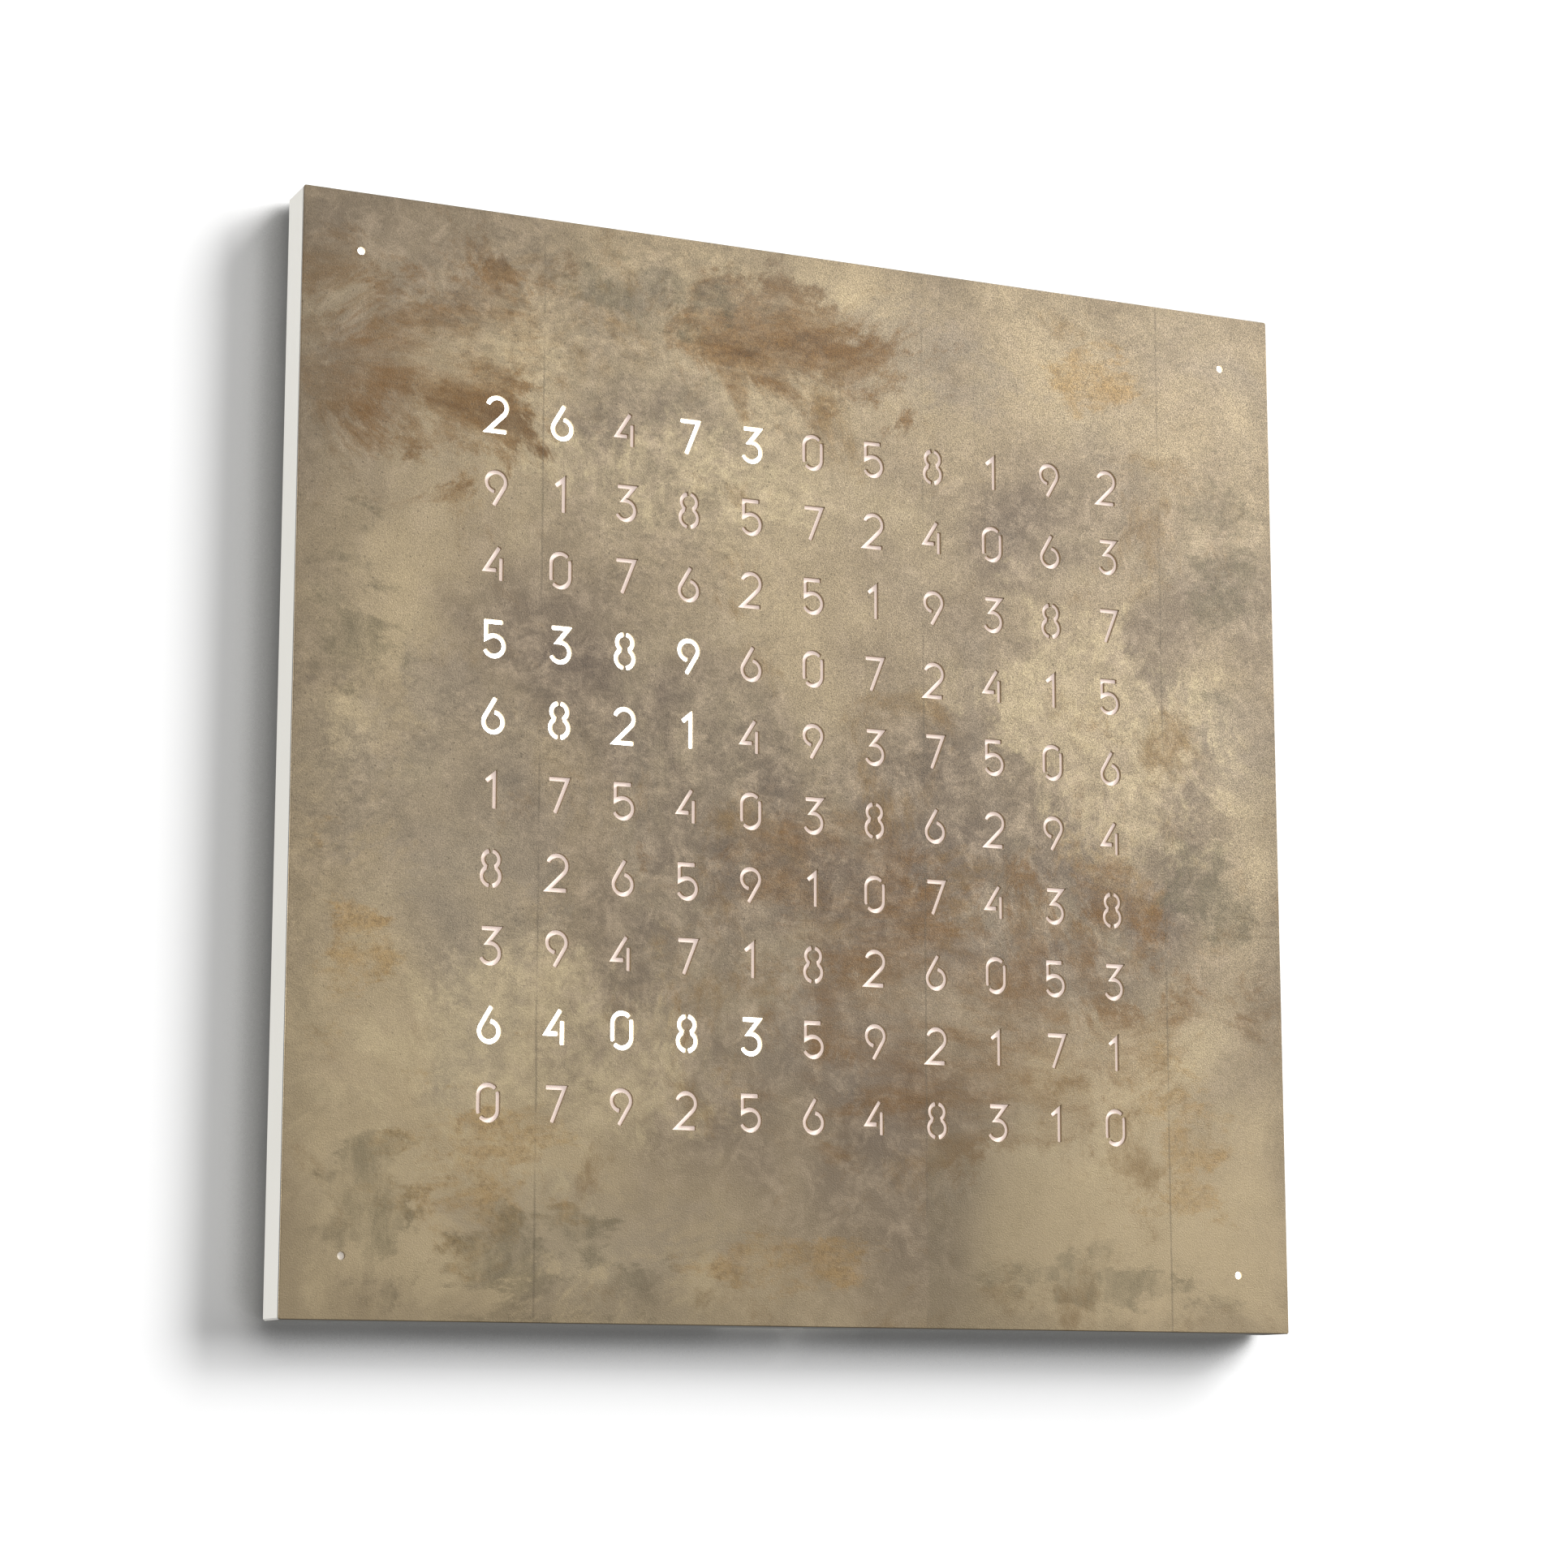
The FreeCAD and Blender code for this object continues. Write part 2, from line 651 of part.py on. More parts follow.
def light_chamber_grid():
    """One funnel for each character, with V-shaped hollows between the funnels at the back."""
    block = Piece("grid_block", part_of_another=True)
    block.pad(GRID_BACK, DIFFUSER_BACK, [rect("0", "0", GRID_W, GRID_H)])
    across, up = f"{GRID_W}/2 - grid_rim", f"{GRID_H}/2 - grid_rim"
    hollow_rows(block, SIDE_VIEW, "pitch_z", "cell_rows", across)
    hollow_rows(block, TOP_VIEW, "pitch_x", "cell_columns", up)
    rows, columns = Piece("funnel_rows", True), Piece("funnel_columns", True)
    tapered_rows(rows, SIDE_VIEW, "pitch_z", "cell_rows", across)
    tapered_rows(columns, TOP_VIEW, "pitch_x", "cell_columns", up)
    funnels = doc.addObject("Part::MultiCommon", "Funnels")
    funnels.Shapes = [rows.body, columns.body]
    grid = doc.addObject("Part::Cut", "light_chamber_grid")
    grid.Base, grid.Tool = block.body, funnels
    SUB_PARTS.append(grid)


def in_view(view, corners):
    """Corners given as (minus the level, place along the row) in the order of the view's axes."""
    return corners if view == SIDE_VIEW else [(place, back) for back, place in corners]


def repeated(piece, feature, view, pitch, count):
    piece.grid_of(feature, ("V_Axis" if view == SIDE_VIEW else "H_Axis", pitch, count))


def tapered_rows(piece, view, pitch, count, reach):
    """Bars that narrow towards the LEDs; where rows and columns of them cross, a funnel is cut."""
    middle, wide = f"-({count} - 1)*{pitch}/2", f"({pitch} - grid_wall)/2"
    narrow = f"({wide} - grid_depth*tan(funnel_angle))"
    trapezoid = [
        (f"-{GRID_BACK}", f"{middle} - {narrow}"),
        (f"-{GRID_BACK}", f"{middle} + {narrow}"),
        (f"-{DIFFUSER_BACK}", f"{middle} + {wide}"),
        (f"-{DIFFUSER_BACK}", f"{middle} - {wide}"),
    ]
    bar = piece.pad(f"-({reach})", reach, [in_view(view, trapezoid)], view)
    repeated(piece, bar, view, pitch, count)


def hollow_rows(block, view, pitch, count, reach):
    """V-grooves in the back of the grid that leave each funnel a wall of even thickness."""
    half = "(grid_depth*tan(funnel_angle) - grid_wall/2)"
    back, tip = f"-{GRID_BACK}", f"-({GRID_BACK} + {half}/tan(funnel_angle))"
    edge = f"({count}*{pitch}/2)"

    def triangle(middle, left, right):
        ends = [(back, f"{middle} - {left}"), (back, f"{middle} + {right}"), (tip, middle)]
        return in_view(view, ends)

    first = triangle(f"(-{edge} + {pitch})", half, half)
    groove = block.cut(f"-({reach})", reach, [first], view)
    repeated(block, groove, view, pitch, f"({count} - 1)")
    ends = [triangle(f"-{edge}", "0", half), triangle(edge, half, "0")]
    block.cut(f"-({reach})", reach, ends, view)


def led_board():
    board = Piece("led_board")
    width, height = f"{INNER_W} + 2*led_board_edge", f"{INNER_H} + 2*led_board_edge"
    board.pad(LED_BOARD_BACK, GRID_BACK, [rect("0", "0", width, height)])
    board.chamfer("diffuser_lap", along_y)
    board.cut(LED_BOARD_BACK, GRID_BACK, at_each(LED_SCREWS, hexagon, "board_hole"))


def leds():
    packages = Piece("leds")
    first = packages.pad(
        GRID_BACK,
        f"{GRID_BACK} + led_height",
        [rect(FIRST_CELL_X, FIRST_CELL_Z, "led_length", "led_width")],
    )
    packages.grid_of(
        first, ("H_Axis", "pitch_x", "cell_columns"), ("V_Axis", "pitch_z", "cell_rows")
    )


def light_sensor():
    sensor = Piece("light_sensor")
    place = rect("0", "pitch_z/2 - sensor_offset", "sensor_length", "sensor_length")
    sensor.pad(GRID_BACK, f"{GRID_BACK} + sensor_height", [place])


def corner_light_guides():
    head = f"{UNDER_COVER} - guide_head_height"
    foot = f"{BOARD_FRONT} + led_height + guide_gap"
    stacked(
        "corner_light_guides",
        DOTS,
        square,
        (foot, head, "guide_stem"),
        (head, UNDER_COVER, "guide_head"),
    )


def corner_led_boards():
    boards = Piece("corner_led_boards")
    boards.pad(BOARD_BACK, BOARD_FRONT, at_each(DOTS, square, "corner_board"))
    boards.cut(BOARD_BACK, BOARD_FRONT, at_each(CORNER_BOARD_SCREWS, hexagon, "board_hole"))


def corner_leds():
    packages = Piece("corner_leds")
    packages.pad(
        BOARD_FRONT,
        f"{BOARD_FRONT} + led_height",
        [rect(x, z, "led_length", "led_width") for x, z in DOTS],
    )


def board_screws(label, places, board_back):
    stacked(
        label,
        places,
        hexagon,
        (f"{board_back} - small_screw_head_height", board_back, "small_screw_head"),
        (board_back, f"{board_back} + small_screw_length", "small_screw_radius"),
    )


def small_board_screws():
    board_screws("small_board_screws", SMALL_BOARD_SCREWS, BOARD_BACK)


def led_board_screws():
    board_screws("led_board_screws", LED_SCREWS, LED_BOARD_BACK)


# ---- the controller board and what it carries, on the side that faces the wall ----


def controller_board():
    board = Piece("controller_board")
    outline = rect(CONTROLLER_X, CONTROLLER_Z, "controller_length", "controller_height")
    board.pad(BOARD_BACK, BOARD_FRONT, [outline])
    board.cut(BOARD_BACK, BOARD_FRONT, at_each(CONTROLLER_SCREWS, hexagon, "board_hole"))


def on_controller(label, height, figures):
    piece = Piece(label)
    piece.pad(f"{BOARD_BACK} - ({height})", BOARD_BACK, figures)
    return piece


def controller_parts():
    low_row = f"{CONTROLLER_Z} - part_row"
    chip = rect(f"{CONTROLLER_X} + chip_size", low_row, "chip_size", "chip_size")
    on_controller("microcontroller_chip", "chip_height", [chip])
    crystal_x = f"{CONTROLLER_X} + 2*chip_size + crystal_width"
    crystal = rect(crystal_x, low_row, "crystal_width", "crystal_length")
    can = on_controller("crystal_can", "crystal_height", [crystal])
    can.chamfer("can_corner", along_y)
    first = rect(
        f"{CONTROLLER_X} - (driver_count - 1)*driver_pitch/2",
        f"{CONTROLLER_Z} + driver_row",
        "driver_width",
        "driver_length",
    )
    drivers = on_controller("led_driver_chips", "driver_height", [first])
    drivers.grid_of(drivers.body.Tip, ("H_Axis", "driver_pitch", "driver_count"))
    inductor_x = f"{CONTROLLER_X} - inductor_size"
    inductor = rect(inductor_x, low_row, "inductor_size", "inductor_size")
    coil = on_controller("power_inductor", "inductor_height", [inductor])
    coil.chamfer("can_corner", along_y)
    first = f"{inductor_x} - inductor_size - capacitor_radius"
    cans = [disc(x, low_row, "capacitor_radius") for x in (first, f"{first} - capacitor_pitch")]
    on_controller("buffer_capacitors", "capacitor_height", cans)


def coin_cell():
    x = f"{RIGHT_PLUG_X} - plug_width - coin_radius - 2*holder_wall"
    z = f"{CONTROLLER_Z} - holder_wall"
    floor = f"{BOARD_BACK} - holder_floor"
    block = square(x, z, "2*(coin_radius + holder_wall)")
    holder = on_controller("coin_cell_holder", "holder_floor + coin_height", [block])
    top = f"{floor} - coin_height"
    holder.cut(top, floor, [disc(x, z, "coin_radius + cover_play")])
    finger = rect(x, f"{z} - coin_radius", "coin_radius", "coin_radius")
    holder.cut(top, floor, [finger])
    stacked("coin_cell", [(x, z)], disc, (top, floor, "coin_radius"))


def power_jack():
    end = f"{BAY_RIGHT} + jack_length"
    housing = Piece("power_jack_housing")
    block = rect(f"-{JACK_LEVEL}", CONTROLLER_Z, "jack_size", "jack_size")
    housing.pad(BAY_RIGHT, end, [block], SIDE_VIEW)
    axis = (f"-{JACK_LEVEL}", CONTROLLER_Z)
    housing.cut(BAY_RIGHT, f"{BAY_RIGHT} + jack_depth", [disc(*axis, "jack_bore")], SIDE_VIEW)
    pin = Piece("power_jack_pin")
    tip = f"{BAY_RIGHT} + jack_pin_recess"
    pin.pad(tip, f"{BAY_RIGHT} + jack_depth", [hexagon(*axis, "jack_pin")], SIDE_VIEW)


def board_connectors():
    """The sockets of the ribbon, at both of its ends, and of the button and antenna leads."""
    plugs = Piece("board_connectors")
    socket = rect(RIBBON_X, RIBBON_PLUG_Z, "ribbon_plug", "ribbon_plug_height")
    plugs.pad(f"{BOARD_BACK} - ribbon_plug_height", BOARD_BACK, [socket])
    low = rect(RIBBON_X, LED_PLUG_Z, "ribbon_plug", "plug_height")
    plugs.pad(f"{LED_BOARD_BACK} - ribbon_plug_low", LED_BOARD_BACK, [low])
    places = (ANTENNA_PLUG_Z, BUTTON_PLUG_Z)
    sides = [rect(RIGHT_PLUG_X, z, "plug_width", "plug_length") for z in places]
    plugs.pad(f"{BOARD_BACK} - plug_height", BOARD_BACK, sides)


# ---- the setting buttons in the right-hand wall ----


def setting_button(number, name):
    axis = button_axis(number)
    cap = Piece(f"{name}_button")
    flange_end = f"{BUTTON_IN} - button_flange_length"
    cap.pad(BUTTON_IN, HALF_W, [disc(*axis, "button_radius")], SIDE_VIEW)
    cap.pad(flange_end, BUTTON_IN, [square(*axis, "button_flange")], SIDE_VIEW)
    cap.pad(BUTTON_STEM_END, flange_end, [square(*axis, "button_stem")], SIDE_VIEW)
    plunger = Piece(f"{name}_switch_plunger")
    tip = f"{BUTTON_STEM_END} - plunger_length"
    plunger.pad(tip, BUTTON_STEM_END, [square(*axis, "plunger")], SIDE_VIEW)


def button_switches():
    axes = [button_axis(n) for n in range(len(BUTTONS))]
    switches = Piece("button_switches")
    left = f"{SWITCH_RIGHT} - switch_length"
    blocks = [rect(y, z, "switch_height", "switch_width") for y, z in axes]
    switches.pad(left, SWITCH_RIGHT, blocks, SIDE_VIEW)
    slots = at_each(axes, square, "plunger + 2*cover_play")
    switches.cut(f"{SWITCH_RIGHT} - switch_bore", SWITCH_RIGHT, slots, SIDE_VIEW)


def button_board():
    board = Piece("button_board")
    outline = rect(BUTTON_BOARD_X, BUTTON_BOARD_Z, "button_board_width", "button_board_height")
    board.pad(BOARD_BACK, BOARD_FRONT, [outline])
    board.cut(BOARD_BACK, BOARD_FRONT, at_each(BUTTON_BOARD_SCREWS, hexagon, "board_hole"))


# ---- the antenna that receives the time signal ----


def antenna():
    def bar(margin):
        width, thickness = f"rod_width + 2*{margin}", f"rod_thickness + 2*{margin}"
        return rect(ROD_X, "-rod_level", width, thickness)

    rod = Piece("antenna_rod")
    rod.pad("-rod_length/2", "rod_length/2", [bar("0")], TOP_VIEW)
    coil = Piece("antenna_coil")
    coil.pad("-coil_length/2", "coil_length/2", [bar("coil_wall"), bar("screw_play")], TOP_VIEW)
    antenna_clips(bar)


def antenna_clips(bar):
    """Two clips that stand on the flange and hook around the bar."""
    clips = Piece("antenna_clips")
    hook_end = "(rod_level - rod_thickness/2 - clip_hook)"
    depth = f"({FLANGE_BACK} - {hook_end})"
    saddle = rect(ROD_X, f"-({hook_end} + {depth}/2)", "rod_width + 2*clip_wall", depth)
    for side in ("-", ""):
        low = f"{side}clip_place - clip_length/2"
        clips.pad(low, f"{low} + clip_length", [saddle], TOP_VIEW)
    reach = "clip_place + clip_length"
    mouth = rect(ROD_X, "-(rod_level - rod_thickness/2)", "rod_width - 2*clip_hook", "2*clip_hook")
    clips.cut(f"-({reach})", reach, [bar("screw_play")], TOP_VIEW)
    clips.cut(f"-({reach})", reach, [mouth], TOP_VIEW)


# ---- leads between the boards, each held at both of its ends ----


def eased_path(points, bend):
    """Straight runs between the points, with a corner cut across where both runs leave room."""
    stops = [points[0]]
    for before, corner, after in zip(points, points[1:], points[2:]):
        runs = (before - corner, after - corner)
        if min(run.Length for run in runs) < 2 * bend:
            stops.append(corner)
        else:
            stops += [corner + run * (bend / run.Length) for run in runs]
    return Part.makePolygon(stops + [points[-1]])


def place(x, z, level):
    return FreeCAD.Vector(value(x), -value(level), value(z))


def leads(label, routes, bend, section):
    """Leads along routes of (x, z, level) places; section makes the outline at a start and heading."""
    solids = []
    for route in routes:
        points = [place(*stop) for stop in route]
        path = eased_path(points, value(bend))
        profile = section(points[0], points[1] - points[0])
        solids.append(path.makePipeShell([profile], True, False, SHARP_CORNERS))
    feature = doc.addObject("Part::Feature", label)
    feature.Label = label
    feature.Shape = Part.makeCompound(solids)
    feature.Placement = FreeCAD.Placement()
    SUB_PARTS.append(feature)


def square_lead(start, heading):
    """A square section across the heading."""
    heading = FreeCAD.Vector(heading).normalize()
    level = X_AXIS if abs(heading.z) > abs(heading.x) else Z_AXIS
    side = heading.cross(level).normalize() * (value("lead_width") / 2)
    rise = heading.cross(side).normalize() * (value("lead_width") / 2)
    corners = [start + side + rise, start - side + rise, start - side - rise]
    return Part.makePolygon(corners + [start + side - rise, corners[0]])


def flat_ribbon(start, heading):
    """A flat strip that leaves its start downwards, as wide as it is along X."""
    across = FreeCAD.Vector(value("ribbon_width") / 2, 0, 0)
    thick = FreeCAD.Vector(0, value("ribbon_thickness") / 2, 0)
    corners = [start + across + thick, start - across + thick, start - across - thick]
    return Part.makePolygon(corners + [start + across - thick, corners[0]])


def button_lead():
    x, z = BUTTON_BOARD_X, f"{BUTTON_BOARD_Z} - button_board_height/2 + small_screw_head"
    corner = f"-({HALF_H} - wall_screw_inset_z + wall_boss + lead_bend)"
    route = [
        (x, z, BOARD_BACK),
        (x, z, PLUG_LEVEL),
        (x, corner, PLUG_LEVEL),
        (f"{RIGHT_PLUG_X} + lead_gap", BUTTON_PLUG_Z, PLUG_LEVEL),
        (f"{RIGHT_PLUG_X} + plug_width/2", BUTTON_PLUG_Z, PLUG_LEVEL),
    ]
    leads("button_lead", [route], "lead_bend", square_lead)


def antenna_lead():
    coil_end = f"{ROD_X} - rod_width/2 - coil_wall/2"
    under_ribs = f"{RIB_BACK} - lead_width"
    x = f"{RIGHT_PLUG_X} + plug_width/2 + antenna_lead_gap"
    past_rib = "-(rib_near + lead_gap)"
    route = [
        (coil_end, "-coil_length/2", "rod_level"),
        (x, "-coil_length/2 - lead_gap", under_ribs),
        (x, past_rib, under_ribs),
        (x, f"{past_rib} - lead_gap", PLUG_LEVEL),
        (x, ANTENNA_PLUG_Z, PLUG_LEVEL),
        (f"{RIGHT_PLUG_X} + plug_width/2", ANTENNA_PLUG_Z, PLUG_LEVEL),
    ]
    leads("antenna_lead", [route], "lead_bend", square_lead)


def corner_led_leads():
    """From the back of each corner board, past the edge of the LED board, to its back."""
    low = f"{LED_BOARD_BACK} - lead_width"
    routes = []
    for a in ("", "-"):
        for b in ("", "-"):
            x, z = f"{a}({DOT_X} - corner_screw)", f"{b}({DOT_Z} - corner_screw)"
            out_x = f"{a}({INNER_W}/2 + led_board_edge + lead_bend)"
            out_z = f"{b}({INNER_H}/2 + led_board_edge + lead_bend)"
            in_x = f"{a}({INNER_W}/2)"
            in_z = f"{b}({INNER_H}/2)"
            routes.append(
                [
                    (x, z, BOARD_BACK),
                    (x, z, RIB_BACK),
                    (out_x, out_z, low),
                    (in_x, in_z, low),
                    (in_x, in_z, LED_BOARD_BACK),
                ]
            )
    leads("corner_led_leads", routes, "lead_bend", square_lead)


def led_ribbon():
    socket_back = f"{BOARD_BACK} - ribbon_plug_height"
    route = [
        (RIBBON_X, f"{LED_PLUG_Z} - plug_height/2", f"{LED_BOARD_BACK} - ribbon_plug_low/2"),
        (RIBBON_X, RIBBON_PLUG_Z, f"{socket_back} - ribbon_rise"),
        (RIBBON_X, RIBBON_PLUG_Z, socket_back),
    ]
    leads("led_ribbon", [route], "ribbon_bend", flat_ribbon)


def setting_buttons():
    for number, name in enumerate(BUTTONS):
        setting_button(number, name)


def build():
    fill_sheet()
    for make in (
        front_cover,
        cover_locating_pins,
        housing_frame,
        rear_cover,
        rear_cover_screws,
        threaded_inserts,
        wall_spacers,
        holding_magnets,
        diffuser_sheet,
        light_chamber_grid,
        led_board,
        leds,
        light_sensor,
        corner_light_guides,
        corner_led_boards,
        corner_leds,
        small_board_screws,
        led_board_screws,
        controller_board,
        controller_parts,
        coin_cell,
        power_jack,
        board_connectors,
        setting_buttons,
        button_switches,
        button_board,
        antenna,
        button_lead,
        antenna_lead,
        corner_led_leads,
        led_ribbon,
    ):
        make()
    doc.recompute()


def check():
    for item in doc.Objects:
        if "Invalid" in item.State or "Error" in item.State:
            raise RuntimeError(f"{item.Label}: {item.State}")
    for body in SUB_PARTS:
        if body.Shape.isNull() or not body.Shape.isValid():
            raise RuntimeError(f"{body.Label}: no valid shape")


def write_parts():
    os.makedirs("parts", exist_ok=True)
    for body in SUB_PARTS:
        shape = body.Shape
        shape.exportStep(f"parts/{body.Label}.step")
        print(body.Label, len(shape.Solids), "solids", round(shape.Volume), "mm3")


build()
check()
write_parts()
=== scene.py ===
import json
import math

import bmesh
import bpy
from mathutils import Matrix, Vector


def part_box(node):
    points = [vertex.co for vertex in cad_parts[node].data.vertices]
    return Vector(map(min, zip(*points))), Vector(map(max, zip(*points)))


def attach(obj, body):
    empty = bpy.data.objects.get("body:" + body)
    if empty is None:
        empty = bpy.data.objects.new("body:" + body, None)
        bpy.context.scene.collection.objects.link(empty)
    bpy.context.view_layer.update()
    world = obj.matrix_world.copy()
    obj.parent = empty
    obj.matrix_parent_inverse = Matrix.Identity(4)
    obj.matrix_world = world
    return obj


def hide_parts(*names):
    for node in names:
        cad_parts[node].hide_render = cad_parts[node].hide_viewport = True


# The word clock: a patinated cover cut through with a grid of figures, an opal sheet behind it that
# glows in some of its cells, and a lacquered housing on a white wall.  Everything is in metres in the
# frame of the CAD model: X to the right, Y into the wall, Z up, origin on the wall.

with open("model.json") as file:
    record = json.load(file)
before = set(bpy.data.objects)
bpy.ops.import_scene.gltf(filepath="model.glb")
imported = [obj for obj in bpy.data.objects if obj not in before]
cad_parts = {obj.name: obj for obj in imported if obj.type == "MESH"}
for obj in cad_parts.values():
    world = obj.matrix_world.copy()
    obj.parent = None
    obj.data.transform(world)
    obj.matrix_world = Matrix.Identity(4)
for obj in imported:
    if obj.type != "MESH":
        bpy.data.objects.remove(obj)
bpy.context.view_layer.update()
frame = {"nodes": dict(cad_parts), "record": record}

MM = 0.001

# ---- the grid of figures ----

ROWS = (
    "26473058192",
    "91385724063",
    "40762519387",
    "53896072415",
    "68214937506",
    "17540386294",
    "82659107438",
    "39471826053",
    "64083592171",
    "07925648310",
)
LIT_COLUMNS = {0: (0, 1, 3, 4), 3: (0, 1, 2, 3), 4: (0, 1, 2, 3), 8: (0, 1, 2, 3, 4)}
PITCH_X, PITCH_Z = 28.3 * MM, 31 * MM
STROKE = 1.85 * MM
CUT_BREAK = 0.08 * MM  # the broken edge of each cut
CAP_BREAK = 0.3 * MM  # the broken corners at the end of a stroke
MITRE_LIMIT = 0.4  # keeps the outer corner of a sharp turn short
HALF_WIDE, HALF_HIGH = 4.1, 7.0  # of a figure's centre lines, in millimetres
ARC_STEP = 12  # degrees

COVER_BREAK = 0.4 * MM  # the rounded front edge of the cover
COVER_CORNER = 0.9 * MM
DOT_RADIUS = 1.6 * MM

PATINA, STEEL, CUT = range(3)  # the finishes of the cover's front, of its sides and back, of its cuts
DARK, LIT = range(2)  # the finishes of the opal sheet and of the light guides

# ---- the small pieces; a profile is a list of (radius, depth) in millimetres ----

GUIDE_HEAD, GUIDE_STEM, GUIDE_HEAD_DEPTH = 4 * MM, 2.5 * MM, 1 * MM  # half widths and depth
GUIDE_BREAK, GUIDE_HEAD_CORNER, GUIDE_CORNER = 0.3 * MM, 0.8 * MM, 0.5 * MM
SCREW_PROFILE = ((2.5, 0), (2.75, 0.25), (2.75, 0.9), (2.55, 1.3), (2.1, 1.52), (1.75, 1.58))
SCREW_SHANK = 1.4 * MM
SCREW_REACH, SCREW_MIDDLE = 217.5 * MM, 75 * MM  # from the centre of the clock
RECESS_MOUTH, RECESS_FOOT = (1.5 * MM, 0.42 * MM), (0.8 * MM, 0.25 * MM)  # reach and half width
RECESS_FLOOR = 0.5 * MM
PAD_HALF, PAD_CORNER, PAD_BREAK, PAD_HOLE_RADIUS = 8 * MM, 2 * MM, 0.5 * MM, 2.75 * MM
BUTTON_DISH = ((0.5, 0.3), (1.0, 0.27), (1.5, 0.18), (1.9, 0.05), (2.05, 0), (2.25, 0.06), (2.4, 0.25))
BUTTON_RADIUS, BUTTON_FLANGE, BUTTON_STEM = 2.4 * MM, 3.2 * MM, 1.5 * MM  # radius and half widths
FLANGE_BACK, FLANGE_FACE = 2.5 * MM, 3.7 * MM  # from the inner end of the stem
FLANGE_CORNER, STEM_CORNER = 0.5 * MM, 0.3 * MM
PIN_RADIUS, PIN_TIP = 1 * MM, 0.6 * MM
ROUNDED_EDGES = {"rear_cover": 0.3 * MM, "power_jack_housing": 0.4 * MM, "holding_magnets": 0.3 * MM}

# ---- the layout of the patina: x, z, half width and half height of each patch, in metres ----

BROWN_PLACES = ((0.07, -0.085, 0.12, 0.07), (0.01, -0.03, 0.05, 0.02), (-0.165, 0.165, 0.06, 0.045),
                (-0.02, 0.18, 0.075, 0.035))
GREY_PLACES = ((-0.15, -0.03, 0.07, 0.05), (0.02, 0.185, 0.08, 0.035), (-0.1, -0.19, 0.06, 0.03))
PALE_PLACES = ((-0.13, -0.12, 0.08, 0.05), (0.15, 0.03, 0.07, 0.06), (-0.07, 0.13, 0.08, 0.03))
RUST_PLACES = ((0.175, -0.15, 0.025, 0.03), (-0.2, -0.08, 0.014, 0.035), (0.0, -0.2, 0.04, 0.014),
               (0.13, 0.19, 0.022, 0.016), (-0.145, -0.165, 0.035, 0.03))
SMUDGE_PLACES = ((0.2, 0.1, 0.018, 0.04), (-0.07, 0.2, 0.04, 0.016), (0.14, -0.205, 0.05, 0.014),
                 (-0.2, 0.05, 0.015, 0.03), (0.19, -0.03, 0.02, 0.025), (-0.12, -0.2, 0.035, 0.02),
                 (-0.19, -0.18, 0.02, 0.03))
SEAM_PLACES, SEAM_WANDER = (-0.121, 0.052, 0.168), 0.0012
SHEET_FADE = 0.11  # the width over which the darker sheet of leaf fades out
RAGGED = (0.2, 0.8, -1.2, 1.2)  # noise from 0.2 to 0.8 moves a patch's edge by 1.2 half widths

# ---- the photograph's point of view ----

CAMERA_PLACE = (-0.6563, -1.4115, -0.2726)
CAMERA_YAW, CAMERA_PITCH = 24.839, 9.988  # degrees
CAMERA_LENS, CAMERA_SENSOR = 86.41, 36  # millimetres

# ---- the room ----

ROOM_HALF, WALL_PLACE, FLOOR_PLACE = 4.0, 0.0003, -0.6
ROOM_LIGHT = 0.2  # how strongly the room lights the clock
# the painted contact shadow on the wall: the side it is cast from and how far it reaches
PAINTED_SHADOW_NORMAL, PAINTED_SHADOW_REACH = (0.5, -0.8, 0.35), 0.024  # where the wall looks for what shades it

# where the light comes from, its strength, and its spread in degrees
SUNS = {
    "key": ((1, -0.65, 0.85), 2.5, 26),
    "low_key": ((1, -0.65, 0.35), 2.3, 26),
    "front_fill": ((0.35, -1, 0.4), 0.6, 50),
    "left_fill": ((-1, 0, 0.12), 3.7, 10),
    "rear_fill": ((0.3, 1, 0.5), 2.0, 40),
}


# ---- figures as centre lines ----


def arc(centre, radius, start, end):
    """Points of an arc in degrees; it turns clockwise where the end is the smaller angle."""
    count = max(2, round(abs(end - start) / ARC_STEP))
    angles = [math.radians(start + (end - start) * n / count) for n in range(count + 1)]
    return [(centre[0] + radius * math.cos(a), centre[1] + radius * math.sin(a)) for a in angles]


def turned(path):
    """The path turned by half a turn about the middle of the figure."""
    return [(-x, -z) for x, z in path]


def figure_strokes():
    """Each figure's strokes.  Where a figure encloses a field, a gap holds that field to the plate."""
    wide, high = HALF_WIDE, HALF_HIGH
    upper, lower = (0, high - wide), (0, wide - high)
    zero = arc(upper, wide, 40, 180) + arc(lower, wide, 180, 202)
    six = [(0.98, high)] + arc(lower, wide, 150, 443)
    eight = arc((0, 3.6), 3.4, 81.6, -50) + arc((0, -3.1), 3.9, 52, -82.6)
    return {
        "0": [zero, turned(zero)],
        "1": [[(-2.6, high - 3), (1, high), (1, -high)]],
        "2": [arc(upper, wide, 165, -44) + [(-wide, -high), (wide, -high)]],
        "3": [[(-3.7, high), (3.7, high), (-0.9, 1.2)] + arc(lower, wide, 88, -155)],
        "4": [[(1.9, high), (-wide, -2.6), (0.8, -2.6)], [(2.6, 2.6), (2.6, -high)]],
        "5": [[(3.6, high), (-3.5, high), (-3.5, 0.1)] + arc((-0.1, -2.8), 4.2, 120, -155)],
        "6": [six],
        "7": [[(-wide, high), (wide, high), (-1.4, -high)]],
        "8": [eight, [(-x, z) for x, z in eight]],
        "9": [turned(six)],
    }


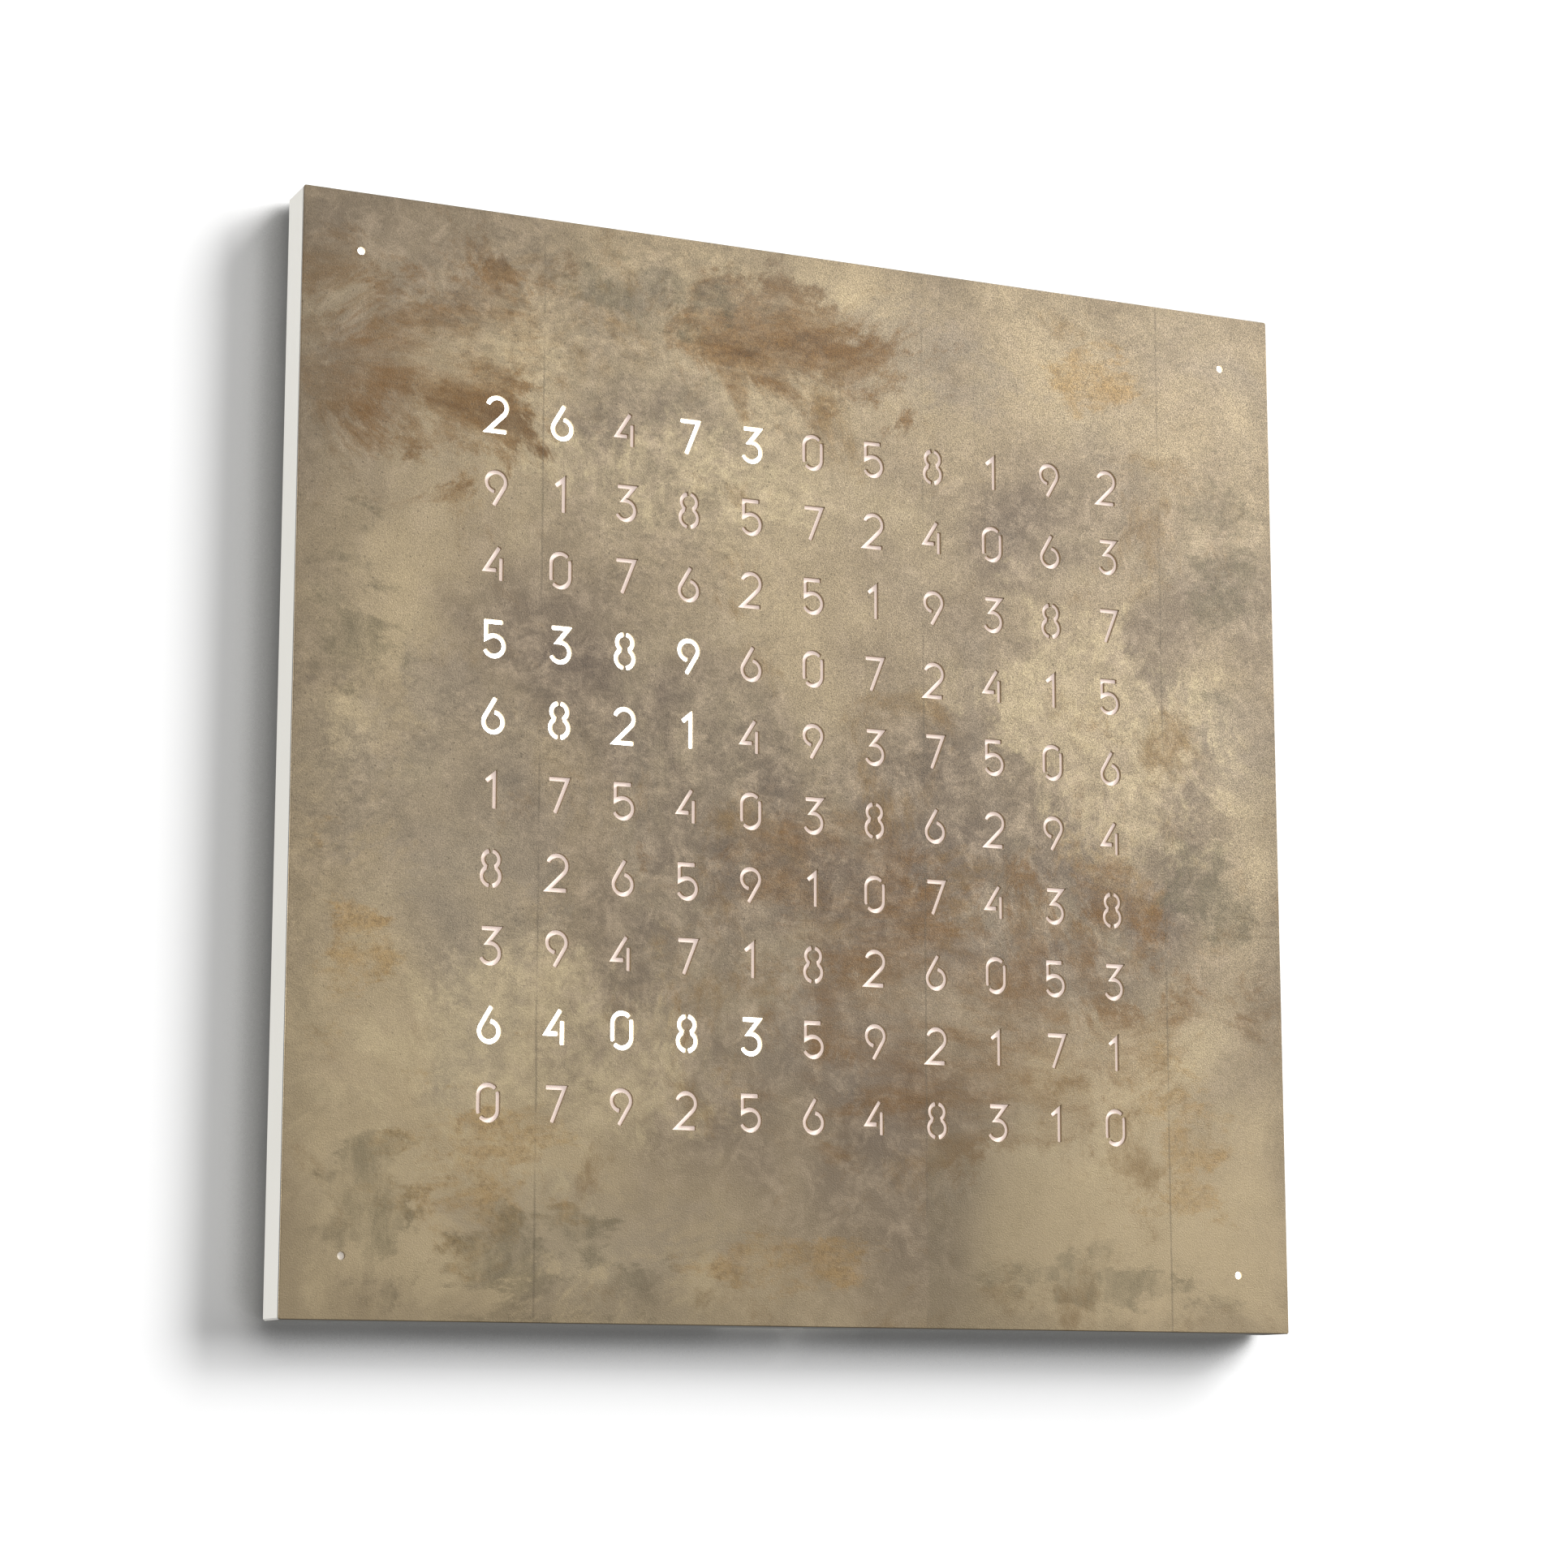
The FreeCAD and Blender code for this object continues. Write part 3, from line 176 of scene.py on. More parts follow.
def outline_of(path, half):
    """The closed outline of a stroke with square ends: the path moved to both sides."""
    points = [Vector(p) * MM for p in path]
    heads = [(b - a).normalized() for a, b in zip(points, points[1:])]
    left, right = [], []
    for n, point in enumerate(points):
        before, after = heads[max(n - 1, 0)], heads[min(n, len(heads) - 1)]
        normal = (before + after).orthogonal().normalized()
        reach = normal * (half / max(normal.dot(before.orthogonal()), MITRE_LIMIT))
        left.append(point + reach)
        right.append(point - reach)
    ends = (0, len(left) - 1, len(left), 2 * len(left) - 1)
    return with_cut_corners(left + right[::-1], ends)


def with_cut_corners(loop, corners):
    """The loop with a short cut across each of the numbered corners."""
    made = []
    for n, point in enumerate(loop):
        if n in corners:
            for other in (loop[n - 1], loop[(n + 1) % len(loop)]):
                made.append(point + (other - point).normalized() * CAP_BREAK)
        else:
            made.append(point)
    return made


def cell_centre(row, column):
    """Rows count from the top, columns from the left."""
    x = (column - (len(ROWS[0]) - 1) / 2) * PITCH_X
    z = ((len(ROWS) - 1) / 2 - row) * PITCH_Z
    return Vector((x, z))


def cell_outlines(half):
    """The outlines of the strokes in each cell (row, column), in the plane of the cover."""
    strokes = figure_strokes()
    cells = {}
    for row, figures in enumerate(ROWS):
        for column, figure in enumerate(figures):
            centre = cell_centre(row, column)
            loops = [outline_of(path, half) for path in strokes[figure]]
            cells[row, column] = [[centre + point for point in loop] for loop in loops]
    return cells


def grid_lines():
    """The upright and level lines between the cells, from the lower left."""
    lines_x = [(n - len(ROWS[0]) / 2) * PITCH_X for n in range(len(ROWS[0]) + 1)]
    lines_z = [(n - len(ROWS) / 2) * PITCH_Z for n in range(len(ROWS) + 1)]
    return lines_x, lines_z


def four_places(x, z):
    """A place and its mirror images across both centre lines."""
    return [Vector((a * x, b * z)) for a in (-1, 1) for b in (-1, 1)]


def dot_places():
    """The centres of the minute dots, in front of the corner light guides."""
    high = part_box("corner_light_guides")[1]
    return four_places(high.x - GUIDE_HEAD, high.z - GUIDE_HEAD)


def circle(centre, radius, count=24):
    turns = [2 * math.pi * n / count for n in range(count)]
    return [centre + Vector((math.cos(t), math.sin(t))) * radius for t in turns]


def rounded_rect(half_x, half_z, radius, steps=4):
    """The outline of a rectangle with round corners, about the origin."""
    points = []
    for quarter, (sx, sz) in enumerate(((1, 1), (-1, 1), (-1, -1), (1, -1))):
        centre = Vector((sx * (half_x - radius), sz * (half_z - radius)))
        for n in range(steps + 1):
            angle = math.pi / 2 * (quarter + n / steps)
            points.append(centre + Vector((math.cos(angle), math.sin(angle))) * radius)
    return points


# ---- building meshes ----


def add_piece(name, mesh, body, slot, *nodes):
    """A piece that rides on a body, has the finish of a slot and stands for CAD nodes; the slot is not
    used.
    """
    piece = bpy.data.objects.new(name, mesh)
    bpy.context.scene.collection.objects.link(piece)
    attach(piece, body)
    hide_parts(*nodes)


def ring(bm, points, depth, along="Y"):
    """A ring of vertices at a depth along Y, or along X for pieces in the right-hand wall."""
    if along == "X":
        return [bm.verts.new((depth, p.x, p.y)) for p in points]
    return [bm.verts.new((p.x, depth, p.y)) for p in points]


def tube(bm, rings, material=0, smooth=True):
    """Faces between each ring and the next."""
    for first, second in zip(rings, rings[1:]):
        bridge(bm, first, second, material, smooth)


def bridge(bm, first, second, material=0, smooth=False):
    """Faces between two closed rings of as many vertices."""
    for n in range(len(first)):
        m = (n + 1) % len(first)
        face = bm.faces.new((first[n], first[m], second[m], second[n]))
        face.material_index = material
        face.smooth = smooth


def fill(bm, loops, material=0):
    """A flat face between closed loops, with the inner loops as holes."""
    edges = []
    for loop in loops:
        for n in range(len(loop)):
            pair = (loop[n], loop[(n + 1) % len(loop)])
            edges.append(bm.edges.get(pair) or bm.edges.new(pair))
    made = bmesh.ops.triangle_fill(bm, edges=edges, use_beauty=True)
    for face in made["geom"]:
        if isinstance(face, bmesh.types.BMFace):
            face.material_index = material


def finished(bm, name, materials):
    """The mesh with all its faces turned outwards, and its materials."""
    bmesh.ops.recalc_face_normals(bm, faces=bm.faces)
    mesh = bpy.data.meshes.new(name)
    bm.to_mesh(mesh)
    bm.free()
    for material in materials:
        mesh.materials.append(material)
    return mesh


def quarter_steps(radius, count=3):
    """Pairs (inset, depth) from the front of a rounded edge to its side."""
    angles = [math.pi / 2 * n / count for n in range(count + 1)]
    return [(radius * (1 - math.sin(a)), radius * (1 - math.cos(a))) for a in angles]


def lattice(bm, lines_x, lines_z, depth):
    """Columns of vertices where the upright lines cross the level ones."""
    return [[bm.verts.new((x, depth, z)) for z in lines_z] for x in lines_x]


def around(grid):
    """The outermost vertices of a lattice, in order."""
    left, right = grid[0], grid[-1]
    bottom, top = [line[0] for line in grid[1:-1]], [line[-1] for line in grid[1:-1]]
    return left[::-1] + bottom + right + top[::-1]


def pierced_face(bm, rim, depth, cell_holes, dot_holes, material):
    """A flat face inside the rim, filled cell by cell and then between the cells and the rim."""
    grid = lattice(bm, *grid_lines(), depth)
    for (row, column), holes in cell_holes.items():
        i, j = column, len(ROWS) - 1 - row
        border = [grid[i][j], grid[i + 1][j], grid[i + 1][j + 1], grid[i][j + 1]]
        fill(bm, [border] + holes, material)
    fill(bm, [rim, around(grid)] + dot_holes, material)


def hole_walls(bm, wide, true, front, back):
    """The broken edge and the wall of one hole; gives its front and back loops."""
    rings = [ring(bm, wide, front), ring(bm, true, front + CUT_BREAK), ring(bm, true, back)]
    tube(bm, rings, CUT, False)
    return rings[0], rings[-1]


def front_cover(patina, steel, edge):
    """The cover plate with a rounded front edge, the cut figures and the four dots."""
    low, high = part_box("front_cover")
    front, back = low.y, high.y
    bm = bmesh.new()
    rim = []
    for inset, depth in quarter_steps(COVER_BREAK):
        corner = max(COVER_CORNER - inset, COVER_CORNER / 2)
        points = rounded_rect(high.x - inset, high.z - inset, corner)
        rim.append(ring(bm, points, front + depth))
    tube(bm, rim)
    rear = ring(bm, rounded_rect(high.x, high.z, COVER_CORNER), back)
    bridge(bm, rim[-1], rear, STEEL)

    wide, true = cell_outlines(STROKE / 2 + CUT_BREAK), cell_outlines(STROKE / 2)
    front_holes, back_holes = {}, {}
    for cell in wide:
        pairs = [hole_walls(bm, *loops, front, back) for loops in zip(wide[cell], true[cell])]
        front_holes[cell] = [pair[0] for pair in pairs]
        back_holes[cell] = [pair[1] for pair in pairs]
    dots = []
    for place in dot_places():
        loops = circle(place, DOT_RADIUS + CUT_BREAK), circle(place, DOT_RADIUS)
        dots.append(hole_walls(bm, *loops, front, back))
    pierced_face(bm, rim[0], front, front_holes, [pair[0] for pair in dots], PATINA)
    pierced_face(bm, rear, back, back_holes, [pair[1] for pair in dots], STEEL)
    mesh = finished(bm, "cover_plate", (patina, steel, edge))
    add_piece("cover_plate", mesh, "cover", "patinated_cover", "front_cover")


def diffuser(opal, lit):
    """The opal sheet: its front is divided into the cells of the grid, and some of them glow."""
    low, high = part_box("diffuser_sheet")
    bm = bmesh.new()
    lines_x, lines_z = grid_lines()
    front = lattice(bm, [low.x, *lines_x, high.x], [low.z, *lines_z, high.z], low.y)
    for i in range(len(front) - 1):
        for j in range(len(front[0]) - 1):
            corners = (front[i][j], front[i + 1][j], front[i + 1][j + 1], front[i][j + 1])
            row, column = len(ROWS) - j, i - 1
            face = bm.faces.new(corners)
            face.material_index = LIT if column in LIT_COLUMNS.get(row, ()) else DARK
    edge = around(front)
    rear = [bm.verts.new((vert.co.x, high.y, vert.co.z)) for vert in edge]
    bridge(bm, edge, rear)
    bm.faces.new(rear)
    mesh = finished(bm, "opal_sheet", (opal, lit))
    add_piece("opal_sheet", mesh, "clock_body", "opal_diffuser", "diffuser_sheet")


def light_guides(clear, lit):
    """Square stems with rounded heads.  One of the four is dark, as one minute is still to come."""
    low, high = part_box("corner_light_guides")
    bm = bmesh.new()
    for place in dot_places():
        rings = []
        for inset, depth in quarter_steps(GUIDE_BREAK):
            points = rounded_rect(GUIDE_HEAD - inset, GUIDE_HEAD - inset, GUIDE_HEAD_CORNER)
            rings.append(ring(bm, [place + p for p in points], low.y + depth))
        step = low.y + GUIDE_HEAD_DEPTH
        for half, depth in ((GUIDE_HEAD, step), (GUIDE_STEM, step), (GUIDE_STEM, high.y)):
            points = rounded_rect(half, half, GUIDE_CORNER)
            rings.append(ring(bm, [place + p for p in points], depth))
        tube(bm, rings, smooth=False)
        tip = bm.faces.new(rings[0])
        tip.material_index = DARK if place.x < 0 and place.y < 0 else LIT
        bm.faces.new(rings[-1])
    mesh = finished(bm, "guide_lights", (clear, lit))
    add_piece("guide_lights", mesh, "clock_body", "clear_guide", "corner_light_guides")


def cross(reach, half):
    """The outline of a cross recess."""
    corners = []
    for ax, az in ((1, 0), (0, 1), (-1, 0), (0, -1)):
        along, across = Vector((ax, az)), Vector((-az, ax))
        corners += [along * reach - across * half, along * reach + across * half]
        corners.append(along * half + across * half)
    return corners


def rear_screws(zinc):
    """Pan-head screws with a cross recess, seen on the side that faces the wall."""
    seat, inner_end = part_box("rear_cover")[1].y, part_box("rear_cover_screws")[0].y
    bm = bmesh.new()
    for place in screw_places():
        rings = []
        for radius, depth in SCREW_PROFILE:
            points = circle(place, radius * MM)
            rings.append(ring(bm, points, seat + depth * MM))
        tube(bm, rings)
        shank = ring(bm, circle(place, SCREW_SHANK), seat)
        tip = ring(bm, circle(place, SCREW_SHANK), inner_end)
        fill(bm, [rings[0], shank])
        bridge(bm, shank, tip)
        bm.faces.new(tip)
        crown = seat + SCREW_PROFILE[-1][1] * MM
        mouth = ring(bm, [place + p for p in cross(*RECESS_MOUTH)], crown)
        foot = ring(bm, [place + p for p in cross(*RECESS_FOOT)], seat + RECESS_FLOOR)
        fill(bm, [rings[-1], mouth])
        bridge(bm, mouth, foot)
        bm.faces.new(foot)
    mesh = finished(bm, "rear_pan_screws", (zinc,))
    add_piece("rear_pan_screws", mesh, "clock_body", "zinc_screws", "rear_cover_screws")


def screw_places():
    """Four screws in the corners, two along the top and bottom, one at each side."""
    corners = four_places(SCREW_REACH, SCREW_REACH)
    level = four_places(SCREW_MIDDLE, SCREW_REACH)
    return corners + level + [Vector((-SCREW_REACH, 0)), Vector((SCREW_REACH, 0))]


def wall_pads(rubber):
    """Square rubber pads with rounded edges round the wall screws."""
    low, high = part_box("wall_spacers")
    x, z = high.x - PAD_HALF, high.z - PAD_HALF
    steps = quarter_steps(PAD_BREAK)
    levels = [(inset, low.y + depth) for inset, depth in steps]
    levels += [(inset, high.y - depth) for inset, depth in reversed(steps)]
    bm = bmesh.new()
    for place in four_places(x, z):
        rings = []
        for inset, level in levels:
            points = rounded_rect(PAD_HALF - inset, PAD_HALF - inset, PAD_CORNER - inset, steps=5)
            rings.append(ring(bm, [place + p for p in points], level))
        tube(bm, rings)
        holes = [ring(bm, circle(place, PAD_HOLE_RADIUS), y) for y in (low.y, high.y)]
        bridge(bm, *holes, smooth=True)
        fill(bm, [rings[0], holes[0]])
        fill(bm, [rings[-1], holes[1]])
    mesh = finished(bm, "wall_pads", (rubber,))
    add_piece("wall_pads", mesh, "clock_body", "spacer_rubber", "wall_spacers")


def button_cap(name, plastic):
    """A round cap with a rounded rim and a shallow dish, on its square flange and stem."""
    low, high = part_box(f"{name}_button")
    place = Vector(((low.y + high.y) / 2, (low.z + high.z) / 2))
    flange = rounded_rect(BUTTON_FLANGE, BUTTON_FLANGE, FLANGE_CORNER, steps=5)
    stem = rounded_rect(BUTTON_STEM, BUTTON_STEM, STEM_CORNER, steps=5)
    bm = bmesh.new()
    rings = [ring(bm, circle(place, r * MM), high.x - d * MM, "X") for r, d in BUTTON_DISH]
    tube(bm, rings)
    middle = bm.verts.new((high.x - BUTTON_DISH[0][1] * MM, place.x, place.y))
    for n in range(len(rings[0])):
        face = bm.faces.new((middle, rings[0][n], rings[0][(n + 1) % len(rings[0])]))
        face.smooth = True
    steps = [
        (circle(Vector((0, 0)), BUTTON_RADIUS), FLANGE_FACE),
        (flange, FLANGE_FACE),
        (flange, FLANGE_BACK),
        (stem, FLANGE_BACK),
        (stem, 0),
    ]
    last = rings[-1]
    for points, height in steps:
        following = ring(bm, [place + p for p in points], low.x + height, "X")
        bridge(bm, last, following)
        last = following
    bm.faces.new(last)
    mesh = finished(bm, f"{name}_key_cap", (plastic,))
    add_piece(f"{name}_key_cap", mesh, f"{name}_key", "button_plastic", f"{name}_button")


def jack_pin(steel):
    """The round centre pin of the power inlet, with a rounded tip."""
    low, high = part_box("power_jack_pin")
    place = Vector(((low.y + high.y) / 2, (low.z + high.z) / 2))
    bm = bmesh.new()
    rings = []
    for inset, depth in quarter_steps(PIN_TIP, count=4):
        rings.append(ring(bm, circle(place, PIN_RADIUS - inset), low.x + depth, "X"))
    rings.append(ring(bm, circle(place, PIN_RADIUS), high.x, "X"))
    tube(bm, rings)
    bm.faces.new(rings[0])
    bm.faces.new(rings[-1])
    mesh = finished(bm, "inlet_pin", (steel,))
    add_piece("inlet_pin", mesh, "clock_body", "bright_steel", "power_jack_pin")


def soften(node, width):
    """Rounds the sharp edges of a CAD node inwards."""
    bevel = frame["nodes"][node].modifiers.new("rounded_edges", "BEVEL")
    bevel.width, bevel.segments = width, 2
    bevel.limit_method, bevel.angle_limit = "ANGLE", math.radians(50)
    bevel.harden_normals = True


# ---- materials ----


def tone(code):
    """Linear colour of an sRGB code such as 8B7D6A."""
    parts = [int(code[n : n + 2], 16) / 255 for n in (0, 2, 4)]
    linear = [p / 12.92 if p <= 0.04045 else ((p + 0.055) / 1.055) ** 2.4 for p in parts]
    return (*linear, 1)


MIX_FACTOR, MIX_FIRST, MIX_SECOND, MIX_RESULT = 0, 6, 7, 2  # the Mix node's sockets for colours


class Finish:
    """A material with a Principled shader, and short ways to build its patterns."""

    def __init__(self, name, roughness=0.5, metallic=0.0):
        self.material = bpy.data.materials.new(name)
        self.material.use_nodes = True
        self.tree = self.material.node_tree
        self.shader = self.tree.nodes["Principled BSDF"]
        self.shader.inputs["Roughness"].default_value = roughness
        self.shader.inputs["Metallic"].default_value = metallic
        self.place = self.tree.nodes.new("ShaderNodeTexCoord").outputs["Object"]

    def node(self, kind, sockets, **settings):
        node = self.tree.nodes.new(kind)
        for key, value in settings.items():
            setattr(node, key, value)
        for name, value in sockets.items():
            self.feed(node.inputs[name], value)
        return node

    def feed(self, socket, value):
        if isinstance(value, bpy.types.NodeSocket):
            self.tree.links.new(value, socket)
        else:
            socket.default_value = value

    def put(self, **values):
        """Feeds the shader: base_color=..., roughness=..., normal=..."""
        for name, value in values.items():
            self.feed(self.shader.inputs[name.replace("_", " ").title()], value)

    def moved(self, shift, scale=(1, 1, 1)):
        """The place scaled and then shifted."""
        sockets = {"Vector": self.place, "Location": shift, "Scale": scale}
        return self.node("ShaderNodeMapping", sockets).outputs["Vector"]

    def noise(self, scale, detail=3, rough=0.5, distortion=0.0, place=None):
        sockets = {
            "Vector": place or self.place,
            "Scale": scale,
            "Detail": detail,
            "Roughness": rough,
            "Distortion": distortion,
        }
        return self.node("ShaderNodeTexNoise", sockets).outputs["Fac"]

    def cells(self, scale, place):
        """The distance to the nearest of many scattered points."""
        sockets = {"Vector": place, "Scale": scale}
        return self.node("ShaderNodeTexVoronoi", sockets).outputs["Distance"]

    def math(self, operation, *values):
        """One of the Math node's operations on numbers or sockets."""
        node = self.node("ShaderNodeMath", {}, operation=operation)
        for n, value in enumerate(values):
            self.feed(node.inputs[n], value)
        return node.outputs[0]

    def times(self, first, *others):
        """The product of numbers or sockets."""
        for other in others:
            first = self.math("MULTIPLY", first, other)
        return first

    def axes(self):
        """The X, Y and Z of the place."""
        return self.node("ShaderNodeSeparateXYZ", {"Vector": self.place}).outputs

    def between(self, fac, low, high, to_low=0.0, to_high=1.0):
        """fac from low to high gives to_low to to_high, and stays there outside."""
        sockets = {
            "Value": fac,
            "From Min": low,
            "From Max": high,
            "To Min": to_low,
            "To Max": to_high,
        }
        node = self.node("ShaderNodeMapRange", sockets, interpolation_type="SMOOTHSTEP")
        return node.outputs["Result"]

    def mix(self, fac, first, second, blend="MIX"):
        """The first colour where fac is 0, and the second blended in where it is 1."""
        node = self.node("ShaderNodeMix", {}, data_type="RGBA", blend_type=blend)
        self.feed(node.inputs[MIX_FACTOR], fac)
        self.feed(node.inputs[MIX_FIRST], first)
        self.feed(node.inputs[MIX_SECOND], second)
        return node.outputs[MIX_RESULT]

    def shaded(self, fac, colour, shade):
        """The colour multiplied by a shade of grey around 1."""
        grey = self.node("ShaderNodeCombineColor", {"Red": shade, "Green": shade, "Blue": shade})
        return self.mix(fac, colour, grey.outputs[0], "MULTIPLY")

    def bump(self, height, strength, distance=0.1 * MM):
        sockets = {"Height": height, "Strength": strength, "Distance": distance}
        return self.node("ShaderNodeBump", sockets).outputs["Normal"]


def region(f, ragged, x, z, half_x, half_z):
    """A patch of the plate with a ragged edge: 1 in its middle and 0 outside."""
    place = f.moved((-x / half_x, 0, -z / half_z), (1 / half_x, 0, 1 / half_z))
    reach = f.node("ShaderNodeVectorMath", {0: place}, operation="LENGTH").outputs["Value"]
    return f.between(f.math("ADD", reach, ragged), 0.5, 1.1, 1, 0)


def regions(f, ragged, places):
    """All patches of a list together."""
    total = region(f, ragged, *places[0])
    for place in places[1:]:
        total = f.math("MAXIMUM", total, region(f, ragged, *place))
    return total


def patina():
    """Bronze and gold patina: clouds, stains and washed patches over a fine metallic grain."""
    f = Finish("patina", metallic=0.45)
    broad = f.noise(2.6, 3, 0.5, 0.6, f.moved((0.62, 0, 1.31)))
    drift = f.noise(6.5, 4, 0.52, 0.5, f.moved((0.21, 0, 0.63)))
    both = f.math("ADD", f.times(broad, 0.6), f.times(drift, 0.4))
    light = f.between(both, 0.4, 0.6)
    colour = f.mix(light, tone("5E5143"), tone("9F8E6F"))
    rough_edge = f.noise(14, 9, 0.74, 0.5, f.moved((0.4, 0, 0.8)))
    ragged = f.between(rough_edge, *RAGGED)
    colour = washes(f, colour, light, ragged)
    colour = stains(f, colour, ragged)
    colour = seams(f, colour)
    colour = darker_edges_and_bottom(f, colour, ragged)
    return grained(f, colour, light)


def washes(f, colour, light, ragged):
    """Grey clouds, pale rubbed places, and a fine pale mottling where the plate is dark."""
    cloud = f.noise(9, 5, 0.54, 0.8, f.moved((0.31, 0, 0.12)))
    grey = f.math("MAXIMUM", regions(f, ragged, GREY_PLACES), f.between(cloud, 0.55, 0.75))
    colour = f.mix(f.times(grey, f.between(cloud, 0.3, 0.7, 0.2, 0.7)), colour, tone("766B5C"))
    mottling = f.noise(120, 7, 0.72, 0.6, f.moved((0.9, 0, 0.5)))
    pale = f.times(regions(f, ragged, PALE_PLACES), f.between(mottling, 0.35, 0.65, 0.2, 0.7))
    colour = f.mix(pale, colour, tone("AB9B7A"))
    rubbed = f.between(f.noise(10, 5, 0.6, 0.6, f.moved((1.7, 0, 0.2))), 0.46, 0.7, 0, 0.5)
    colour = f.mix(f.times(rubbed, mottling), colour, tone("B9A986"))
    curls = f.between(f.noise(85, 9, 0.76, 0.5, f.moved((0.6, 0, 1.1))), 0.42, 0.7, 0, 0.5)
    return f.mix(f.times(curls, f.between(light, 0, 1, 1, 0.25)), colour, tone("A8967E"))


def stains(f, colour, ragged):
    """Brown stains in level bands, rust with dark specks, and dull upright smudges."""
    mottling = f.noise(70, 7, 0.75, 0.3, f.moved((0.15, 0, 0.4), (0.8, 1, 1.3)))
    shreds = f.noise(38, 8, 0.7, 0.3, f.moved((1.3, 0, 0.1), (0.7, 1, 1.3)))
    torn = f.math("ADD", f.between(shreds, *RAGGED), f.times(ragged, 0.4))
    colour = brown_stains(f, colour, mottling, regions(f, ragged, BROWN_PLACES))
    rust = f.times(regions(f, torn, RUST_PLACES), f.between(mottling, 0.34, 0.66, 0, 0.52))
    colour = f.mix(rust, colour, tone("8D6A2C"))
    specks = f.between(f.noise(420, 4, 0.7), 0.5, 0.6, 0, 0.7)
    colour = f.mix(f.times(rust, specks), colour, tone("4A3A24"))
    upright = f.noise(75, 8, 0.74, 0.2, f.moved((0.3, 0, 0.9), (1.2, 1, 0.6)))
    smudge = f.times(regions(f, torn, SMUDGE_PLACES), f.between(upright, 0.32, 0.66, 0.1, 0.6))
    colour = f.mix(smudge, colour, tone("4E4833"))
    chance = f.noise(17, 8, 0.74, 0.5, f.moved((2.1, 0, 1.7)))
    return f.mix(f.between(chance, 0.54, 0.72, 0, 0.7), colour, tone("6C532C"))


def brown_stains(f, colour, mottling, brown):
    """Level bands with darker veins inside the brown patches."""
    bands = f.noise(19, 8, 0.7, 0.35, f.moved((0.05, 0, 0.61), (0.55, 1, 1.6)))
    deep = f.times(f.between(bands, 0.36, 0.6, 0.1, 0.9), f.between(mottling, 0.3, 0.65, 0.55, 1))
    colour = f.mix(f.times(brown, deep), colour, tone("634416"))
    veins = f.times(brown, f.between(bands, 0.56, 0.68, 0, 0.5))
    return f.mix(veins, colour, tone("4A3110"))


def seams(f, colour):
    """Faint upright lines where sheets of leaf meet, and a darker sheet low down."""
    axes = f.axes()
    across = f.math("ADD", axes["X"], f.times(f.noise(30, 3, 0.6), SEAM_WANDER))
    worn = f.between(f.noise(24, 4, 0.6, 0.0, f.moved((0.2, 0, 0.9))), 0.4, 0.62, 0, 0.45)
    for place in SEAM_PLACES:
        distance = f.math("ABSOLUTE", f.math("SUBTRACT", across, place))
        line = f.times(f.between(distance, 0.1 * MM, 0.7 * MM, 1, 0), worn)
        colour = f.mix(line, colour, tone("4F4637"))
    start = SEAM_PLACES[1]
    right_of = f.between(across, start, start + SEAM_WANDER)
    fades = f.between(across, start, start + SHEET_FADE, 1, 0)
    low_down = f.between(axes["Z"], -0.17, -0.11, 0.4, 0)
    return f.mix(f.times(right_of, fades, low_down), colour, tone("5E543F"))


def darker_edges_and_bottom(f, colour, ragged):
    """Darker towards the edges of the plate and low down."""
    axes = f.axes()
    sides = [f.math("ABSOLUTE", axes[axis]) for axis in "XZ"]
    out = f.math("ADD", f.math("MAXIMUM", *sides), f.times(ragged, -0.02))
    colour = f.mix(f.between(out, 0.2, 0.23, 0, 0.45), colour, tone("655844"))
    return f.mix(f.between(axes["Z"], -0.2, -0.06, 0.2, 0), colour, tone("5F4F36"))


def grained(f, colour, light):
    """The metallic grain, blotches and pits, all fading out downwards; the grain is strongest
    at the upper right, its glints made stronger to the right as a painted sheen, and the blotches on
    the left."""
    axes = f.axes()
    upwards = f.between(axes["Z"], -0.2, -0.02, 0.12, 1)
    fine, coarse = f.noise(1700, 2, 0.7), f.noise(620, 3, 0.6)
    speckle = f.times(f.between(fine, 0.3, 0.7, 0.52, 1.48), f.between(coarse, 0.3, 0.7, 0.88, 1.12))
    # painted sheen: the grain's glints grow stronger toward the right, where the light comes from
    painted_sheen_rightwards = f.between(axes["X"], -0.2, 0.2, 0.45, 1)
    strength = f.times(painted_sheen_rightwards, upwards, f.between(light, 0, 1, 0.8, 1))
    colour = f.shaded(strength, colour, speckle)
    blotches = f.noise(240, 6, 0.72, 0.5, f.moved((0.2, 0, 0.7), (0.8, 1, 1.2)))
    patchy = f.between(f.noise(12, 5, 0.6, 0.6, f.moved((0.5, 0, 0.3))), 0.42, 0.62, 0.1, 1)
    share = f.times(f.between(axes["X"], -0.1, 0.2, 1, 0.5), upwards, patchy)
    colour = f.shaded(share, colour, f.between(blotches, 0.3, 0.7, 0.77, 1.23))
    pits = f.between(f.cells(300, f.moved((0.4, 0, 0.2))), 0.06, 0.16, 0.5, 0)
    colour = f.mix(f.times(pits, upwards), colour, tone("40372A"))
    dulled = f.noise(46, 7, 0.72, 0.4, f.moved((0.7, 0, 0.4)))
    f.put(base_color=colour, roughness=f.between(dulled, 0.3, 0.7, 0.34, 0.5))
    f.put(normal=f.bump(fine, 0.4, 0.2 * MM))
    return f.material


def cut_edge():
    """The walls of the cuts, in the bronze of the plate."""
    f = Finish("cut_edge", roughness=0.55, metallic=0.25)
    f.put(base_color=f.mix(f.noise(900, 3), tone("9A8A6E"), tone("B0A080")))
    return f.material


